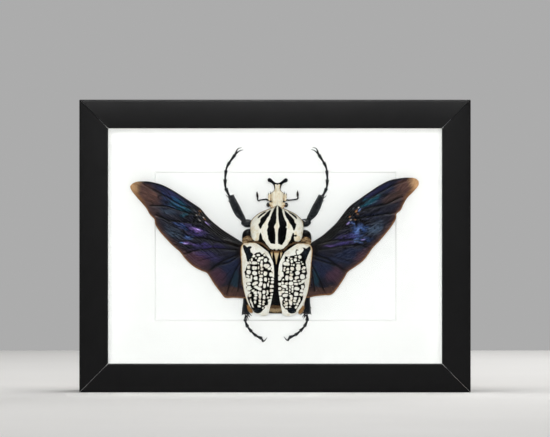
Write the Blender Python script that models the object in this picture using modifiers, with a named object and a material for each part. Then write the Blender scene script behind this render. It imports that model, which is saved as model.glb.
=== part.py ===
"""A goliath beetle with its hind wings spread, mounted in a black shadow-box frame that stands on its bottom rail.

X runs to the viewer's right, Y away from the viewer and Z up. The origin is the middle of the bottom rail's underside.
Beetle pieces are modelled round the beetle's own axis: x to its side, z towards its horn, and h, the height above the
board that it lies on. Their parent empty puts them in the frame, with h along -Y.
"""

import math

import bmesh
import bpy
import numpy as np
from mathutils import Matrix, Vector

MM = 0.001
GAP = 0.3 * MM

# Frame
OPENING_WIDTH = 210 * MM
OPENING_HEIGHT = 148 * MM
RAIL_WIDTH = 18 * MM
FRAME_DEPTH = 50 * MM
LIP_WIDTH = 6 * MM
LIP_THICKNESS = 5 * MM
MITRE_GAP = 0.15 * MM
CENTRE_HEIGHT = OPENING_HEIGHT / 2 + RAIL_WIDTH
REBATE_WIDTH = OPENING_WIDTH + 2 * LIP_WIDTH
REBATE_HEIGHT = OPENING_HEIGHT + 2 * LIP_WIDTH

# Sawtooth hanger and its nails, on the back of the top rail
HANGER_LENGTH = 44 * MM
HANGER_HEIGHT = 9 * MM
HANGER_THICKNESS = 1 * MM
HANGER_TOOTH = 3 * MM
HANGER_TEETH = 7
NAIL_SPREAD = 18 * MM
NAIL_RADIUS = 0.6 * MM
NAIL_LENGTH = 9 * MM
NAIL_HEAD_RADIUS = 1.6 * MM
NAIL_HEAD_THICKNESS = 0.8 * MM
HANGER_PROUD = 2 * GAP + HANGER_THICKNESS + NAIL_HEAD_THICKNESS

# Layers behind the lip, from the front
FRAME_FRONT = -(FRAME_DEPTH + HANGER_PROUD) / 2
FRAME_BACK = FRAME_FRONT + FRAME_DEPTH
GLASS_THICKNESS = 2 * MM
SPACER_DEPTH = 29.1 * MM
SPACER_WIDTH = 2.5 * MM
MAT_THICKNESS = 1.5 * MM
BOARD_THICKNESS = 5 * MM
PANEL_THICKNESS = 2.5 * MM
GLASS_FRONT = FRAME_FRONT + LIP_THICKNESS + GAP
SPACER_FRONT = GLASS_FRONT + GLASS_THICKNESS + GAP
MAT_FRONT = SPACER_FRONT + SPACER_DEPTH + GAP
BOARD_FRONT = MAT_FRONT + MAT_THICKNESS + GAP
PANEL_FRONT = BOARD_FRONT + BOARD_THICKNESS + GAP
PANEL_BACK = PANEL_FRONT + PANEL_THICKNESS

# Window in the mat
WINDOW_WIDTH = 152 * MM
WINDOW_HEIGHT = 94 * MM
WINDOW_SHIFT = (0.5 * MM, -0.7 * MM)

# Retaining tabs, half of each let into the rail
TAB_LENGTH = 14 * MM
TAB_WIDTH = 5 * MM
TAB_THICKNESS = 0.6 * MM
TAB_SUNK = 4 * MM
TAB_SPREAD = 60 * MM

# Beetle's place in the frame: its waist, and how far it leans to the right
BEETLE_WAIST = (1.0 * MM, CENTRE_HEIGHT)
BEETLE_LEAN = math.radians(0.9)
SIDES = {"left": -1, "right": 1}
LEG_SPREAD = {"left": 1.03, "right": 0.97}
WING_RAISE = {"left": math.radians(-0.9), "right": math.radians(2.9)}
WING_SIZE = {"left": 1.0, "right": 0.967}
WING_ROOT = (21.8, 2.6)
WING_THICKNESS = 0.5 * MM
ELYTRON_THICKNESS = 0.8 * MM
LEG_SEGMENTS = 2

# Stations of the lofted pieces, in mm: z, half width, height of the widest line, top, bottom
PROTHORAX = (
    (23.4, 4.0, 11.5, 14.0, 8.0),
    (20.7, 10.7, 11.5, 18.0, 5.0),
    (16.3, 15.1, 12.0, 21.3, 4.0),
    (11.9, 16.5, 12.5, 22.8, 4.0),
    (7.0, 16.2, 13.0, 23.0, 4.0),
    (3.7, 15.1, 14.0, 22.3, 5.5),
    (2.6, 11.6, 17.0, 22.0, 15.6),
    (0.3, 8.2, 17.5, 21.0, 16.2),
    (-2.2, 4.2, 17.8, 19.8, 16.8),
)
TRUNK = (
    (1.5, 17.5, 9.5, 13.0, 5.0),
    (-0.6, 19.5, 9.5, 14.6, 2.5),
    (-4.0, 18.6, 9.0, 15.2, 0.6),
    (-10.0, 17.0, 8.0, 15.6, 0.3),
    (-20.0, 16.8, 7.5, 15.6, 0.3),
    (-30.0, 15.6, 7.0, 14.2, 0.8),
    (-37.0, 13.0, 6.5, 12.0, 1.8),
    (-41.0, 8.6, 6.5, 9.6, 3.6),
)
HEAD = (
    (24.8, 3.7, 10.8, 13.4, 7.8),
    (26.2, 3.9, 10.8, 14.2, 7.2),
    (28.5, 4.6, 10.8, 14.4, 7.0),
    (31.0, 4.5, 10.8, 14.0, 7.4),
    (33.0, 3.9, 11.0, 13.6, 8.4),
    (34.2, 2.4, 11.4, 13.2, 9.8),
)
TRUNK_END = -42.5
SHOULDER = (
    (19.6, 12.4, 9.3, 0.9),
    (19.8, 12.8, 7.6, 2.2),
    (19.5, 12.6, 4.9, 2.5),
    (18.7, 11.0, 2.2, 1.6),
    (17.2, 10.2, -1.2, 1.0),
)
SCUTELLUM_BASE = (4.6, -3.9)
SCUTELLUM_TIP = -15.0
SCUTELLUM_HEIGHTS = (16.1, 17.6)

# Horn, eyes and antennae, in mm: x, h, z and for tubes the radius
HORN_STEM = ((0, 11.4, 33.0, 2.4), (0, 12.0, 35.0, 1.75), (0, 12.7, 37.2, 1.85), (0, 13.0, 38.4, 1.6))
HORN_ARM = ((0.4, 12.9, 38.0, 1.3), (2.4, 13.3, 39.2, 1.05), (4.2, 13.7, 40.7, 1.35), (4.9, 13.8, 41.3, 0.9))
EYE_CENTRE = (5.75, 10.8, 25.9)
EYE_RADIUS = 1.5
ANTENNA = (
    (5.15, 10.0, 27.9, 0.5),
    (6.2, 10.2, 28.8, 0.75),
    (7.8, 10.3, 28.9, 0.5),
    (11.2, 10.2, 28.4, 0.45),
    (12.4, 10.2, 28.9, 0.55),
    (12.8, 10.2, 30.6, 0.95),
    (12.8, 10.2, 32.4, 0.8),
    (12.6, 10.2, 34.2, 0.3),
)

# Legs in mm: x, h, z and radius, from the body to the last tarsus joint, then the claw tips and the tibia's spurs
FRONT_LEG = {
    "femur": ((17.0, 7.6, 13.4, 1.6), (18.6, 7.6, 13.8, 2.4), (20.4, 7.4, 14.4, 2.1)),
    "tibia": ((21.6, 7.2, 16.2, 1.9), (24.6, 6.8, 21.8, 2.3), (27.6, 6.4, 27.4, 2.2), (29.2, 6.2, 30.6, 1.7)),
    "tarsus": ((30.2, 6.0, 32.6), (31.5, 5.7, 35.7), (32.0, 5.3, 39.9), (32.0, 4.9, 44.4), (31.0, 4.5, 49.5), (26.9, 4.1, 56.6)),
    "claws": (((25.3, 3.9, 59.4), (22.3, 3.2, 61.6)), ((24.6, 3.9, 58.9), (21.0, 3.2, 60.2))),
    "spurs": ((32.2, 6.0, 31.2), (26.6, 6.0, 31.8)),
}
MIDDLE_LEG = {
    "femur": ((19.8, 5.4, -3.6, 1.5), (22.6, 5.4, -3.2, 2.0), (27.6, 5.2, -2.6, 1.9)),
    "tibia": ((29.2, 5.2, -4.4, 1.5), (29.8, 5.0, -9.0, 1.6), (29.8, 4.8, -14.4, 1.8), (29.6, 4.6, -17.0, 1.7)),
    "tarsus": ((29.4, 4.4, -18.6), (29.0, 4.2, -20.8), (28.2, 4.0, -23.2), (27.0, 3.8, -25.4), (25.6, 3.6, -27.2), (23.8, 3.6, -28.8)),
    "claws": (((22.4, 3.4, -30.4), (20.6, 3.0, -30.4)), ((22.6, 3.4, -29.2), (20.8, 3.0, -28.6))),
    "spurs": ((31.8, 4.4, -18.2), (27.4, 4.4, -18.2)),
}
HIND_LEG = {
    "femur": ((18.2, 5.0, -12.0, 1.2), (19.8, 5.2, -15.0, 2.0), (20.4, 5.4, -22.0, 2.0)),
    "tibia": ((20.4, 5.8, -26.0, 1.5), (20.2, 6.0, -31.0, 1.6), (19.6, 5.8, -38.0, 2.0), (19.3, 5.6, -42.2, 2.3)),
    "tarsus": ((19.3, 5.2, -44.4), (18.9, 4.9, -47.8), (17.0, 4.6, -51.4), (14.2, 4.3, -54.8), (11.2, 4.0, -57.0), (8.4, 3.8, -58.4)),
    "claws": (((7.0, 3.6, -59.4), (5.2, 3.2, -57.7)), ((7.6, 3.2, -59.8), (5.8, 2.8, -58.6))),
    "spurs": ((21.9, 5.4, -43.3), (15.6, 5.4, -43.6)),
}
TARSUS_RADII = (0.65, 1.0)
CLAW_RADIUS = 0.4

# Outlines seen from the front, in mm: distance from the beetle's axis, and z
WING_LEADING = (
    (19.9, 0.6), (21.8, 2.6), (30.2, 7.7), (36.2, 12.8), (42.2, 18.2), (47.0, 23.3), (57.2, 30.2), (63.3, 34.1),
    (69.2, 37.5), (75.3, 39.5), (81.3, 40.6), (86.7, 40.5), (90.3, 39.5), (92.1, 37.7),
)  # fmt: skip
WING_TRAILING = (
    (17.9, -32.3), (22.4, -32.9), (32.6, -32.6), (35.0, -29.3), (41.0, -20.3), (44.0, -16.6), (50.6, -13.6),
    (54.9, -10.3), (60.8, -3.4), (68.0, 3.2), (72.3, 7.7), (75.9, 12.2), (77.1, 16.7), (80.1, 20.6), (82.8, 25.2),
    (86.7, 29.1), (89.7, 32.6), (92.1, 36.3),
)  # fmt: skip
ELYTRON_OUTER = ((20.6, 1.6), (22.5, -1.0), (22.7, -5.0), (21.5, -16.0), (20.3, -26.6), (17.3, -36.9), (13.0, -42.0))
ELYTRON_INNER = ((5.1, -4.4), (3.6, -8.6), (1.5, -14.5), (1.4, -19.4), (1.7, -26.6), (2.9, -36.0), (4.4, -42.8))
ELYTRON_BASE = ((5.1, -4.4), (8.0, -1.7), (12.0, 1.0), (16.6, 1.8), (20.6, 1.6))
ELYTRON_APEX = ((4.4, -42.8), (6.5, -44.0), (10.6, -43.6), (13.0, -42.0))


# Building blocks


def coloured(name, colour, roughness, metallic=0.0, alpha=1.0):
    material = bpy.data.materials.new(name)
    material.use_nodes = True
    shader = material.node_tree.nodes["Principled BSDF"]
    shader.inputs["Base Color"].default_value = (*colour, 1.0)
    shader.inputs["Roughness"].default_value = roughness
    shader.inputs["Metallic"].default_value = metallic
    shader.inputs["Alpha"].default_value = alpha
    return material


def add(name, data, material, parent=None):
    """A new object in the part's collection, with one material."""
    made = bpy.data.objects.new(name, data)
    PART.objects.link(made)
    data.materials.append(material)
    made.parent = parent
    return made


def mesh_from(bm, name):
    mesh = bpy.data.meshes.new(name)
    bm.to_mesh(mesh)
    bm.free()
    return mesh


def block(name, low, high, material, parent=None):
    """A box between two corners."""
    low, high = Vector(low), Vector(high)
    bm = bmesh.new()
    size = high - low
    place = Matrix.Translation((low + high) / 2) @ Matrix.Diagonal((*size, 1))
    bmesh.ops.create_cube(bm, size=1.0, matrix=place)
    return add(name, mesh_from(bm, name), material, parent)


def as_cutter(obj):
    """Puts a helper among the cutters, where it isn't part of the object."""
    PART.objects.unlink(obj)
    CUTTERS.objects.link(obj)
    obj.hide_render = True
    obj.display_type = "WIRE"
    return obj


def joined(obj, other, operation):
    """A Boolean modifier of obj with a helper."""
    modifier = obj.modifiers.new(operation.title(), "BOOLEAN")
    modifier.operation = operation
    modifier.object = as_cutter(other)
    return obj


def through(values, count):
    """Points at even steps along a smooth curve through the rows of values (Catmull-Rom)."""
    rows = np.array(values, float)
    padded = np.vstack([2 * rows[0] - rows[1], rows, 2 * rows[-1] - rows[-2]])
    place = np.linspace(0, len(rows) - 1, count)
    span = np.minimum(place.astype(int), len(rows) - 2)
    t = (place - span)[:, None]
    a, b, c, d = (padded[span + k] for k in range(4))
    return 0.5 * (2 * b + (c - a) * t + (2 * a - 5 * b + 4 * c - d) * t**2 + (3 * b - a - 3 * c + d) * t**3)


def along(points, count, power=1.0):
    """Points at even steps of length along a polyline, or closer to its start where power is over 1."""
    rows = np.array(points, float)
    length = np.concatenate([[0], np.cumsum(np.linalg.norm(np.diff(rows, axis=0), axis=1))])
    place = length[-1] * np.linspace(0, 1, count) ** power
    return np.stack([np.interp(place, length, column) for column in rows.T], axis=1)


def lofted(name, stations, rings, sides, material, ends):
    """A sphere whose rings are stretched to the stations, with its poles at the two end values of z."""
    rows = through(stations, rings)
    bm = bmesh.new()
    bmesh.ops.create_uvsphere(bm, u_segments=sides, v_segments=rings + 1, radius=1.0)
    for vertex in bm.verts:
        polar = math.acos(max(-1.0, min(1.0, vertex.co.z)))
        ring = round(polar / math.pi * (rings + 1)) - 1
        pole = ring < 0 or ring >= rings
        z, half_width, middle, top, bottom = rows[0 if ring < 0 else min(ring, rings - 1)]
        across = 0.0 if pole else vertex.co.x / math.sin(polar)
        up = 0.0 if pole else vertex.co.y / math.sin(polar)
        h = middle + up * (top - middle if up > 0 else middle - bottom)
        z = ends[0] if ring < 0 else ends[1] if ring >= rings else z
        vertex.co = Vector((across * half_width, -h, z)) * MM
    if bm.calc_volume(signed=True) < 0:
        bmesh.ops.reverse_faces(bm, faces=bm.faces)
    return add(name, mesh_from(bm, name), material, BEETLE)


def ball(name, centre, radius, material):
    """A sphere at x, h, z."""
    bm = bmesh.new()
    x, h, z = centre
    place = Matrix.Translation(Vector((x, -h, z)) * MM)
    bmesh.ops.create_uvsphere(bm, u_segments=12, v_segments=8, radius=radius * MM, matrix=place)
    return add(name, mesh_from(bm, name), material, BEETLE)


def tube(name, rows, material, resolution=LEG_SEGMENTS):
    """A tube through rows of x, h, z, radius, as a closed mesh."""
    curve = bpy.data.curves.new(name, "CURVE")
    curve.dimensions = "3D"
    curve.bevel_depth = MM
    curve.bevel_resolution = resolution
    curve.use_fill_caps = True
    spline = curve.splines.new("POLY")
    spline.points.add(len(rows) - 1)
    for point, (x, h, z, radius) in zip(spline.points, rows):
        point.co = (x * MM, -h * MM, z * MM, 1)
        point.radius = radius
    guide = bpy.data.objects.new(name, curve)
    PART.objects.link(guide)
    graph = bpy.context.evaluated_depsgraph_get()
    mesh = bpy.data.meshes.new_from_object(guide.evaluated_get(graph))
    bpy.data.objects.remove(guide)
    bm = bmesh.new()
    bm.from_mesh(mesh)
    bmesh.ops.remove_doubles(bm, verts=bm.verts, dist=0.00001)
    bmesh.ops.recalc_face_normals(bm, faces=bm.faces)
    bm.to_mesh(mesh)
    bm.free()
    return add(name, mesh, material, BEETLE)


def mirrored(rows, side, spread=1.0):
    """The rows, for the beetle's left or right side of the picture."""
    return [(SIDES[side] * spread * row[0], *row[1:]) for row in rows]


def patch(name, points, thickness, material):
    """A curved sheet through a grid of x, h, z points, thickened both ways."""
    rows, columns = points.shape[:2]
    bm = bmesh.new()
    bmesh.ops.create_grid(bm, x_segments=columns - 1, y_segments=rows - 1, size=1.0)
    bm.verts.ensure_lookup_table()
    for vertex in bm.verts:
        column = round((vertex.co.x + 1) / 2 * (columns - 1))
        row = round((vertex.co.y + 1) / 2 * (rows - 1))
        x, h, z = points[row, column]
        vertex.co = Vector((x, -h, z)) * MM
    made = add(name, mesh_from(bm, name), material, BEETLE)
    solid = made.modifiers.new("Thickness", "SOLIDIFY")
    solid.thickness = thickness
    solid.offset = 0.0
    return made


def coons(left, right, low, high, rows, columns):
    """A grid between four edges: low and high run across, left and right run along."""
    v = np.linspace(0, 1, rows)[:, None, None]
    u = np.linspace(0, 1, columns)[None, :, None]
    a, b = along(left, rows)[:, None], along(right, rows)[:, None]
    c, d = along(low, columns)[None], along(high, columns)[None]
    corners = (1 - v) * ((1 - u) * a[0, 0] + u * b[0, 0]) + v * ((1 - u) * a[-1, 0] + u * b[-1, 0])
    return (1 - u) * a + u * b + (1 - v) * c + v * d - corners


# Frame


def rail(name, length, angle, distance):
    """A mitred length of L-shaped moulding, turned about Y to its side of the frame."""
    wall = RAIL_WIDTH - LIP_WIDTH
    profile = (
        (0, FRAME_FRONT),
        (RAIL_WIDTH, FRAME_FRONT),
        (RAIL_WIDTH, FRAME_FRONT + LIP_THICKNESS),
        (wall, FRAME_FRONT + LIP_THICKNESS),
        (wall, FRAME_BACK),
        (0, FRAME_BACK),
    )
    bm = bmesh.new()
    start = [bm.verts.new((0, y, -inset)) for inset, y in profile]
    face = bm.faces.new(start)
    swept = bmesh.ops.extrude_face_region(bm, geom=[face])["geom"]
    far = [item for item in swept if isinstance(item, bmesh.types.BMVert)]
    for vertex in far:
        vertex.co.x = length / 2 + vertex.co.z - MITRE_GAP
    for vertex in start:
        vertex.co.x = -length / 2 - vertex.co.z + MITRE_GAP
    bmesh.ops.recalc_face_normals(bm, faces=bm.faces)
    made = add(name, mesh_from(bm, name), BLACK_LACQUER)
    turn = Matrix.Rotation(angle, 4, "Y")
    made.matrix_world = Matrix.Translation((0, 0, CENTRE_HEIGHT)) @ turn @ Matrix.Translation((0, 0, distance))
    return made


def rails():
    """The four rails, named by their side."""
    width, height = OPENING_WIDTH + 2 * RAIL_WIDTH, OPENING_HEIGHT + 2 * RAIL_WIDTH
    quarter = math.pi / 2
    return {
        "top": rail("frame_rail_top", width, 0, height / 2),
        "right": rail("frame_rail_right", height, quarter, width / 2),
        "bottom": rail("frame_rail_bottom", width, 2 * quarter, height / 2),
        "left": rail("frame_rail_left", height, 3 * quarter, width / 2),
    }


def sheet(name, front, thickness, material):
    """A sheet that fills the rebate with a gap round it."""
    half_width, half_height = REBATE_WIDTH / 2 - GAP, REBATE_HEIGHT / 2 - GAP
    low = (-half_width, front, CENTRE_HEIGHT - half_height)
    high = (half_width, front + thickness, CENTRE_HEIGHT + half_height)
    return block(name, low, high, material)


def spacers():
    """Four white strips against the rebate, the upright ones between the other two."""
    back = SPACER_FRONT + SPACER_DEPTH
    half_width, half_height = REBATE_WIDTH / 2 - GAP, REBATE_HEIGHT / 2 - GAP
    inner = half_height - SPACER_WIDTH
    for name, sign in (("top", 1), ("bottom", -1)):
        z = sorted(CENTRE_HEIGHT + sign * edge for edge in (inner, half_height))
        block(f"spacer_{name}", (-half_width, SPACER_FRONT, z[0]), (half_width, back, z[1]), WHITE_BOARD)
    for name, sign in SIDES.items():
        x = sorted(sign * edge for edge in (half_width - SPACER_WIDTH, half_width))
        low = (x[0], SPACER_FRONT, CENTRE_HEIGHT - inner + GAP)
        block(f"spacer_{name}", low, (x[1], back, CENTRE_HEIGHT + inner - GAP), WHITE_BOARD)


def window_mat():
    """The mat, with its window cut at 45 degrees so that the bevel faces the viewer."""
    mat = sheet("window_mat", MAT_FRONT, MAT_THICKNESS, WHITE_BOARD)
    past = 1 * MM
    bm = bmesh.new()
    middle = Vector((WINDOW_SHIFT[0], MAT_FRONT + MAT_THICKNESS / 2, CENTRE_HEIGHT + WINDOW_SHIFT[1]))
    depth = MAT_THICKNESS + 2 * past
    size = (WINDOW_WIDTH + MAT_THICKNESS, depth, WINDOW_HEIGHT + MAT_THICKNESS)
    bmesh.ops.create_cube(bm, size=1.0, matrix=Matrix.Translation(middle) @ Matrix.Diagonal((*size, 1)))
    for vertex in bm.verts:
        offset = vertex.co - middle
        grow = math.copysign(depth / 2, -offset.y)
        vertex.co.x += math.copysign(grow, offset.x * grow)
        vertex.co.z += math.copysign(grow, offset.z * grow)
    cutter = add("window_cutter", mesh_from(bm, "window_cutter"), WHITE_BOARD)
    joined(mat, cutter, "DIFFERENCE")


def tabs(frame):
    """Six steel tabs that hold the back panel, each let into a slot in its rail."""
    low_y, high_y = PANEL_BACK + GAP, PANEL_BACK + GAP + TAB_THICKNESS
    places = (
        ("top", 0, TAB_SPREAD), ("top", 0, -TAB_SPREAD), ("bottom", math.pi, TAB_SPREAD),
        ("bottom", math.pi, -TAB_SPREAD), ("right", math.pi / 2, 0), ("left", -math.pi / 2, 0),
    )  # fmt: skip
    for number, (side, angle, shift) in enumerate(places, 1):
        wall = (REBATE_WIDTH if side in SIDES else REBATE_HEIGHT) / 2
        reach = (wall + TAB_SUNK - TAB_LENGTH, wall + TAB_SUNK)
        place = Matrix.Translation((0, 0, CENTRE_HEIGHT)) @ Matrix.Rotation(angle, 4, "Y")
        low = (shift - TAB_WIDTH / 2, low_y, reach[0])
        tab = block(f"retaining_tab_{number}", low, (shift + TAB_WIDTH / 2, high_y, reach[1]), STEEL)
        tab.matrix_world = place
        slot_low = (low[0] - GAP, low_y - GAP, reach[0])
        slot_high = (shift + TAB_WIDTH / 2 + GAP, high_y + GAP, reach[1] + GAP)
        slot = block(f"tab_slot_{number}", slot_low, slot_high, STEEL)
        slot.matrix_world = place
        joined(frame[side], slot, "DIFFERENCE")


def rod(name, radius, start, end, centre, material):
    """A round bar along Y between two depths, at x and z."""
    bm = bmesh.new()
    middle = (centre[0], (start + end) / 2, centre[1])
    place = Matrix.Translation(middle) @ Matrix.Rotation(math.pi / 2, 4, "X")
    bmesh.ops.create_cone(
        bm, cap_ends=True, segments=12, radius1=radius, radius2=radius, depth=end - start, matrix=place
    )
    return add(name, mesh_from(bm, name), material)


def hanger(top_rail):
    """The sawtooth hanger: a strip with a toothed lower edge, and its two nails in the top rail."""
    back = FRAME_BACK + GAP
    height = CENTRE_HEIGHT + REBATE_HEIGHT / 2 + (RAIL_WIDTH - LIP_WIDTH) / 2
    low = (-HANGER_LENGTH / 2, back, height - HANGER_HEIGHT / 2)
    high = (HANGER_LENGTH / 2, back + HANGER_THICKNESS, height + HANGER_HEIGHT / 2)
    plate = block("sawtooth_hanger", low, high, STEEL)
    for number in range(HANGER_TEETH):
        x = (number - (HANGER_TEETH - 1) / 2) * HANGER_TOOTH
        bm = bmesh.new()
        place = Matrix.Translation((x, back + HANGER_THICKNESS / 2, low[2])) @ Matrix.Rotation(math.pi / 4, 4, "Y")
        side = HANGER_TOOTH / math.sqrt(2) * 0.9
        bmesh.ops.create_cube(bm, size=1.0, matrix=place @ Matrix.Diagonal((side, 4 * HANGER_THICKNESS, side, 1)))
        notch = add(f"hanger_notch_{number}", mesh_from(bm, "notch"), STEEL)
        joined(plate, notch, "DIFFERENCE")
    past = 1 * MM
    for number, x in enumerate((-NAIL_SPREAD, NAIL_SPREAD), 1):
        place = (x, height)
        under_head = back + HANGER_THICKNESS + GAP
        nail = rod(f"hanger_nail_{number}", NAIL_RADIUS, under_head - NAIL_LENGTH, under_head + past / 2, place, STEEL)
        head = rod(f"nail_head_{number}", NAIL_HEAD_RADIUS, under_head, under_head + NAIL_HEAD_THICKNESS, place, STEEL)
        joined(nail, head, "UNION")
        bore = NAIL_RADIUS + GAP
        for target in (plate, top_rail):
            hole = rod("nail_hole", bore, under_head - NAIL_LENGTH - GAP, under_head + past, place, STEEL)
            joined(target, hole, "DIFFERENCE")


# Beetle


def head():
    capsule = lofted("head", HEAD, 9, 14, CREAM_SHELL, (24.3, 34.6))
    joined(capsule, tube("horn_stem", HORN_STEM, BLACK_SHELL), "UNION")
    for side in SIDES:
        joined(capsule, tube(f"horn_arm_{side}", mirrored(HORN_ARM, side), BLACK_SHELL), "UNION")
        ball(f"{side}_eye", mirrored([EYE_CENTRE], side)[0], EYE_RADIUS, BLACK_SHELL)
        tube(f"{side}_antenna", through(mirrored(ANTENNA, side), 15), BLACK_SHELL)


def trunk():
    body = lofted("trunk", TRUNK, 15, 20, BLACK_SHELL, (2.0, TRUNK_END))
    for side in SIDES:
        joined(body, tube(f"shoulder_{side}", mirrored(SHOULDER, side), BLACK_SHELL), "UNION")


def scutellum():
    """A flat triangle between the elytra, its tip to the rear."""
    half, base = SCUTELLUM_BASE
    low, high = SCUTELLUM_HEIGHTS
    curve = bpy.data.curves.new("scutellum", "CURVE")
    curve.dimensions = "2D"
    curve.fill_mode = "BOTH"
    curve.extrude = (high - low) / 2 * MM
    spline = curve.splines.new("POLY")
    corners = ((-half, base), (half, base), (half * 0.45, base + 0.6 * (SCUTELLUM_TIP - base)), (0, SCUTELLUM_TIP),
               (-half * 0.45, base + 0.6 * (SCUTELLUM_TIP - base)))  # fmt: skip
    spline.points.add(len(corners) - 1)
    for point, (x, z) in zip(spline.points, corners):
        point.co = (x * MM, z * MM, 0, 1)
    spline.use_cyclic_u = True
    made = add("scutellum", curve, CREAM_SHELL, BEETLE)
    made.location = (0, -(low + high) / 2 * MM, 0)
    made.rotation_euler = (math.pi / 2, 0, 0)


def elytron(side):
    """A domed wing case: high along the suture, curling down at its outer edge and its tip."""
    rows, columns = 16, 9
    plan = coons(ELYTRON_INNER, ELYTRON_OUTER, ELYTRON_BASE, ELYTRON_APEX, rows, columns)
    v = np.linspace(0, 1, rows)[:, None]
    u = np.linspace(0, 1, columns)[None, :]
    crown = 19.2 + 2.2 * np.sin(math.pi * v**0.8) - 7.2 * v**4
    fall = (crown - (13.4 - 3.0 * v**2)) * u**3
    points = np.dstack([SIDES[side] * plan[..., 0], crown - fall, plan[..., 1]])
    patch(f"{side}_elytron", points, ELYTRON_THICKNESS, CREAM_SHELL)


def hindwing(side):
    """A wing between its leading and trailing edges, sloping gently down to the tip."""
    rows, columns = 17, 9
    v = np.linspace(0, 1, rows)[:, None]
    leading, trailing = along(WING_LEADING, rows), along(WING_TRAILING, rows)
    u = np.linspace(0, 1, columns)[None, :, None]
    plan = (1 - u) * leading[:, None] + u * trailing[:, None]
    turn = np.array([[math.cos(WING_RAISE[side]), math.sin(WING_RAISE[side])],
                     [-math.sin(WING_RAISE[side]), math.cos(WING_RAISE[side])]])  # fmt: skip
    root = np.array(WING_ROOT)
    outside = np.clip((plan[..., :1] - root[0]) / 12, 0, 1)
    turned = (plan - root) @ turn * WING_SIZE[side] + root
    plan = plan + (turned - plan) * outside
    pleats = 0.45 * np.sin(u[..., 0] * 5 * math.pi) * np.sin(v * math.pi) ** 0.5
    heights = 8.8 - 2.6 * v**0.8 + pleats
    points = np.dstack([SIDES[side] * plan[..., 0], heights, plan[..., 1]])
    patch(f"{side}_hindwing", points, WING_THICKNESS, WING_SKIN)


def tarsus_rows(joints):
    """Rows for the foot: it narrows at the start of each joint and flares before the next."""
    narrow, wide = TARSUS_RADII
    rows = []
    for start, end in zip(joints, joints[1:]):
        start, end = np.array(start), np.array(end)
        rows.append((*start, narrow))
        rows.append((*(start + 0.55 * (end - start)), (narrow + wide) / 2))
        rows.append((*(start + 0.85 * (end - start)), wide))
    rows.append((*joints[-1], narrow))
    return rows


def leg(name, side, shape):
    """One leg: femur, tibia and jointed foot as one tube, with two claws and two spurs fused on."""
    spread = LEG_SPREAD[side]
    rows = [*shape["femur"], *shape["tibia"], *tarsus_rows(shape["tarsus"])]
    limb = tube(name, mirrored(rows, side, spread), BLACK_SHELL)
    foot = shape["tarsus"][-1]
    for number, (bend, tip) in enumerate(shape["claws"]):
        back = tuple(np.array(foot) + 0.12 * (np.array(shape["tarsus"][-2]) - np.array(foot)))
        path = through((back, foot, bend, tip), 7)
        radii = np.linspace(CLAW_RADIUS * 1.3, CLAW_RADIUS * 0.45, 7)
        rows = np.column_stack([path, radii])
        joined(limb, tube(f"{name}_claw_{number}", mirrored(rows, side, spread), BLACK_SHELL), "UNION")
    knee = shape["tibia"][-1]
    for number, spur in enumerate(shape["spurs"]):
        rows = ((*(np.array(knee[:3]) * 1.0), 1.0), (*spur, 0.2))
        joined(limb, tube(f"{name}_spur_{number}", mirrored(rows, side, spread), BLACK_SHELL, 1), "UNION")


def beetle():
    head()
    lofted("pronotum", PROTHORAX, 16, 20, CREAM_SHELL, (24.0, -2.6))
    trunk()
    scutellum()
    for side in SIDES:
        elytron(side)
        hindwing(side)
        leg(f"{side}_front_leg", side, FRONT_LEG)
        leg(f"{side}_middle_leg", side, MIDDLE_LEG)
        leg(f"{side}_hind_leg", side, HIND_LEG)


for old in list(bpy.data.objects):
    bpy.data.objects.remove(old)
PART = bpy.data.collections.new("framed_goliath_beetle")
CUTTERS = bpy.data.collections.new("cutters")
bpy.context.scene.collection.children.link(PART)
bpy.context.scene.collection.children.link(CUTTERS)
CUTTERS.hide_render = True

BLACK_LACQUER = coloured("black_lacquer", (0.018, 0.018, 0.020), 0.45)
WHITE_BOARD = coloured("white_board", (0.93, 0.93, 0.92), 0.85)
CLEAR_GLASS = coloured("clear_glass", (0.95, 0.97, 0.97), 0.03, alpha=0.12)
BROWN_PANEL = coloured("brown_panel", (0.36, 0.23, 0.13), 0.8)
STEEL = coloured("steel", (0.60, 0.60, 0.62), 0.35, metallic=1.0)
CREAM_SHELL = coloured("cream_shell", (0.84, 0.80, 0.70), 0.55)
BLACK_SHELL = coloured("black_shell", (0.012, 0.013, 0.016), 0.3)
WING_SKIN = coloured("wing_skin", (0.045, 0.035, 0.075), 0.35)

BEETLE = bpy.data.objects.new("beetle_axis", None)
PART.objects.link(BEETLE)
BEETLE.location = (BEETLE_WAIST[0], BOARD_FRONT, BEETLE_WAIST[1])
BEETLE.rotation_euler = (0, BEETLE_LEAN, 0)

FRAME = rails()
sheet("glass_pane", GLASS_FRONT, GLASS_THICKNESS, CLEAR_GLASS)
spacers()
window_mat()
sheet("backing_board", BOARD_FRONT, BOARD_THICKNESS, WHITE_BOARD)
sheet("back_panel", PANEL_FRONT, PANEL_THICKNESS, BROWN_PANEL)
tabs(FRAME)
hanger(FRAME["top"])
beetle()
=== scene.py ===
"""The looks of the framed goliath beetle: its shell, wings, legs and hairs, and the frame, glass and boards.

Beetle pieces are worked out in millimetres round the beetle's own axis: x to its side, h above the board that
it lies on, and z towards its horn. Shapes are whole numpy arrays, and `world` turns them into the frame's
metres.
"""

import math

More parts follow.
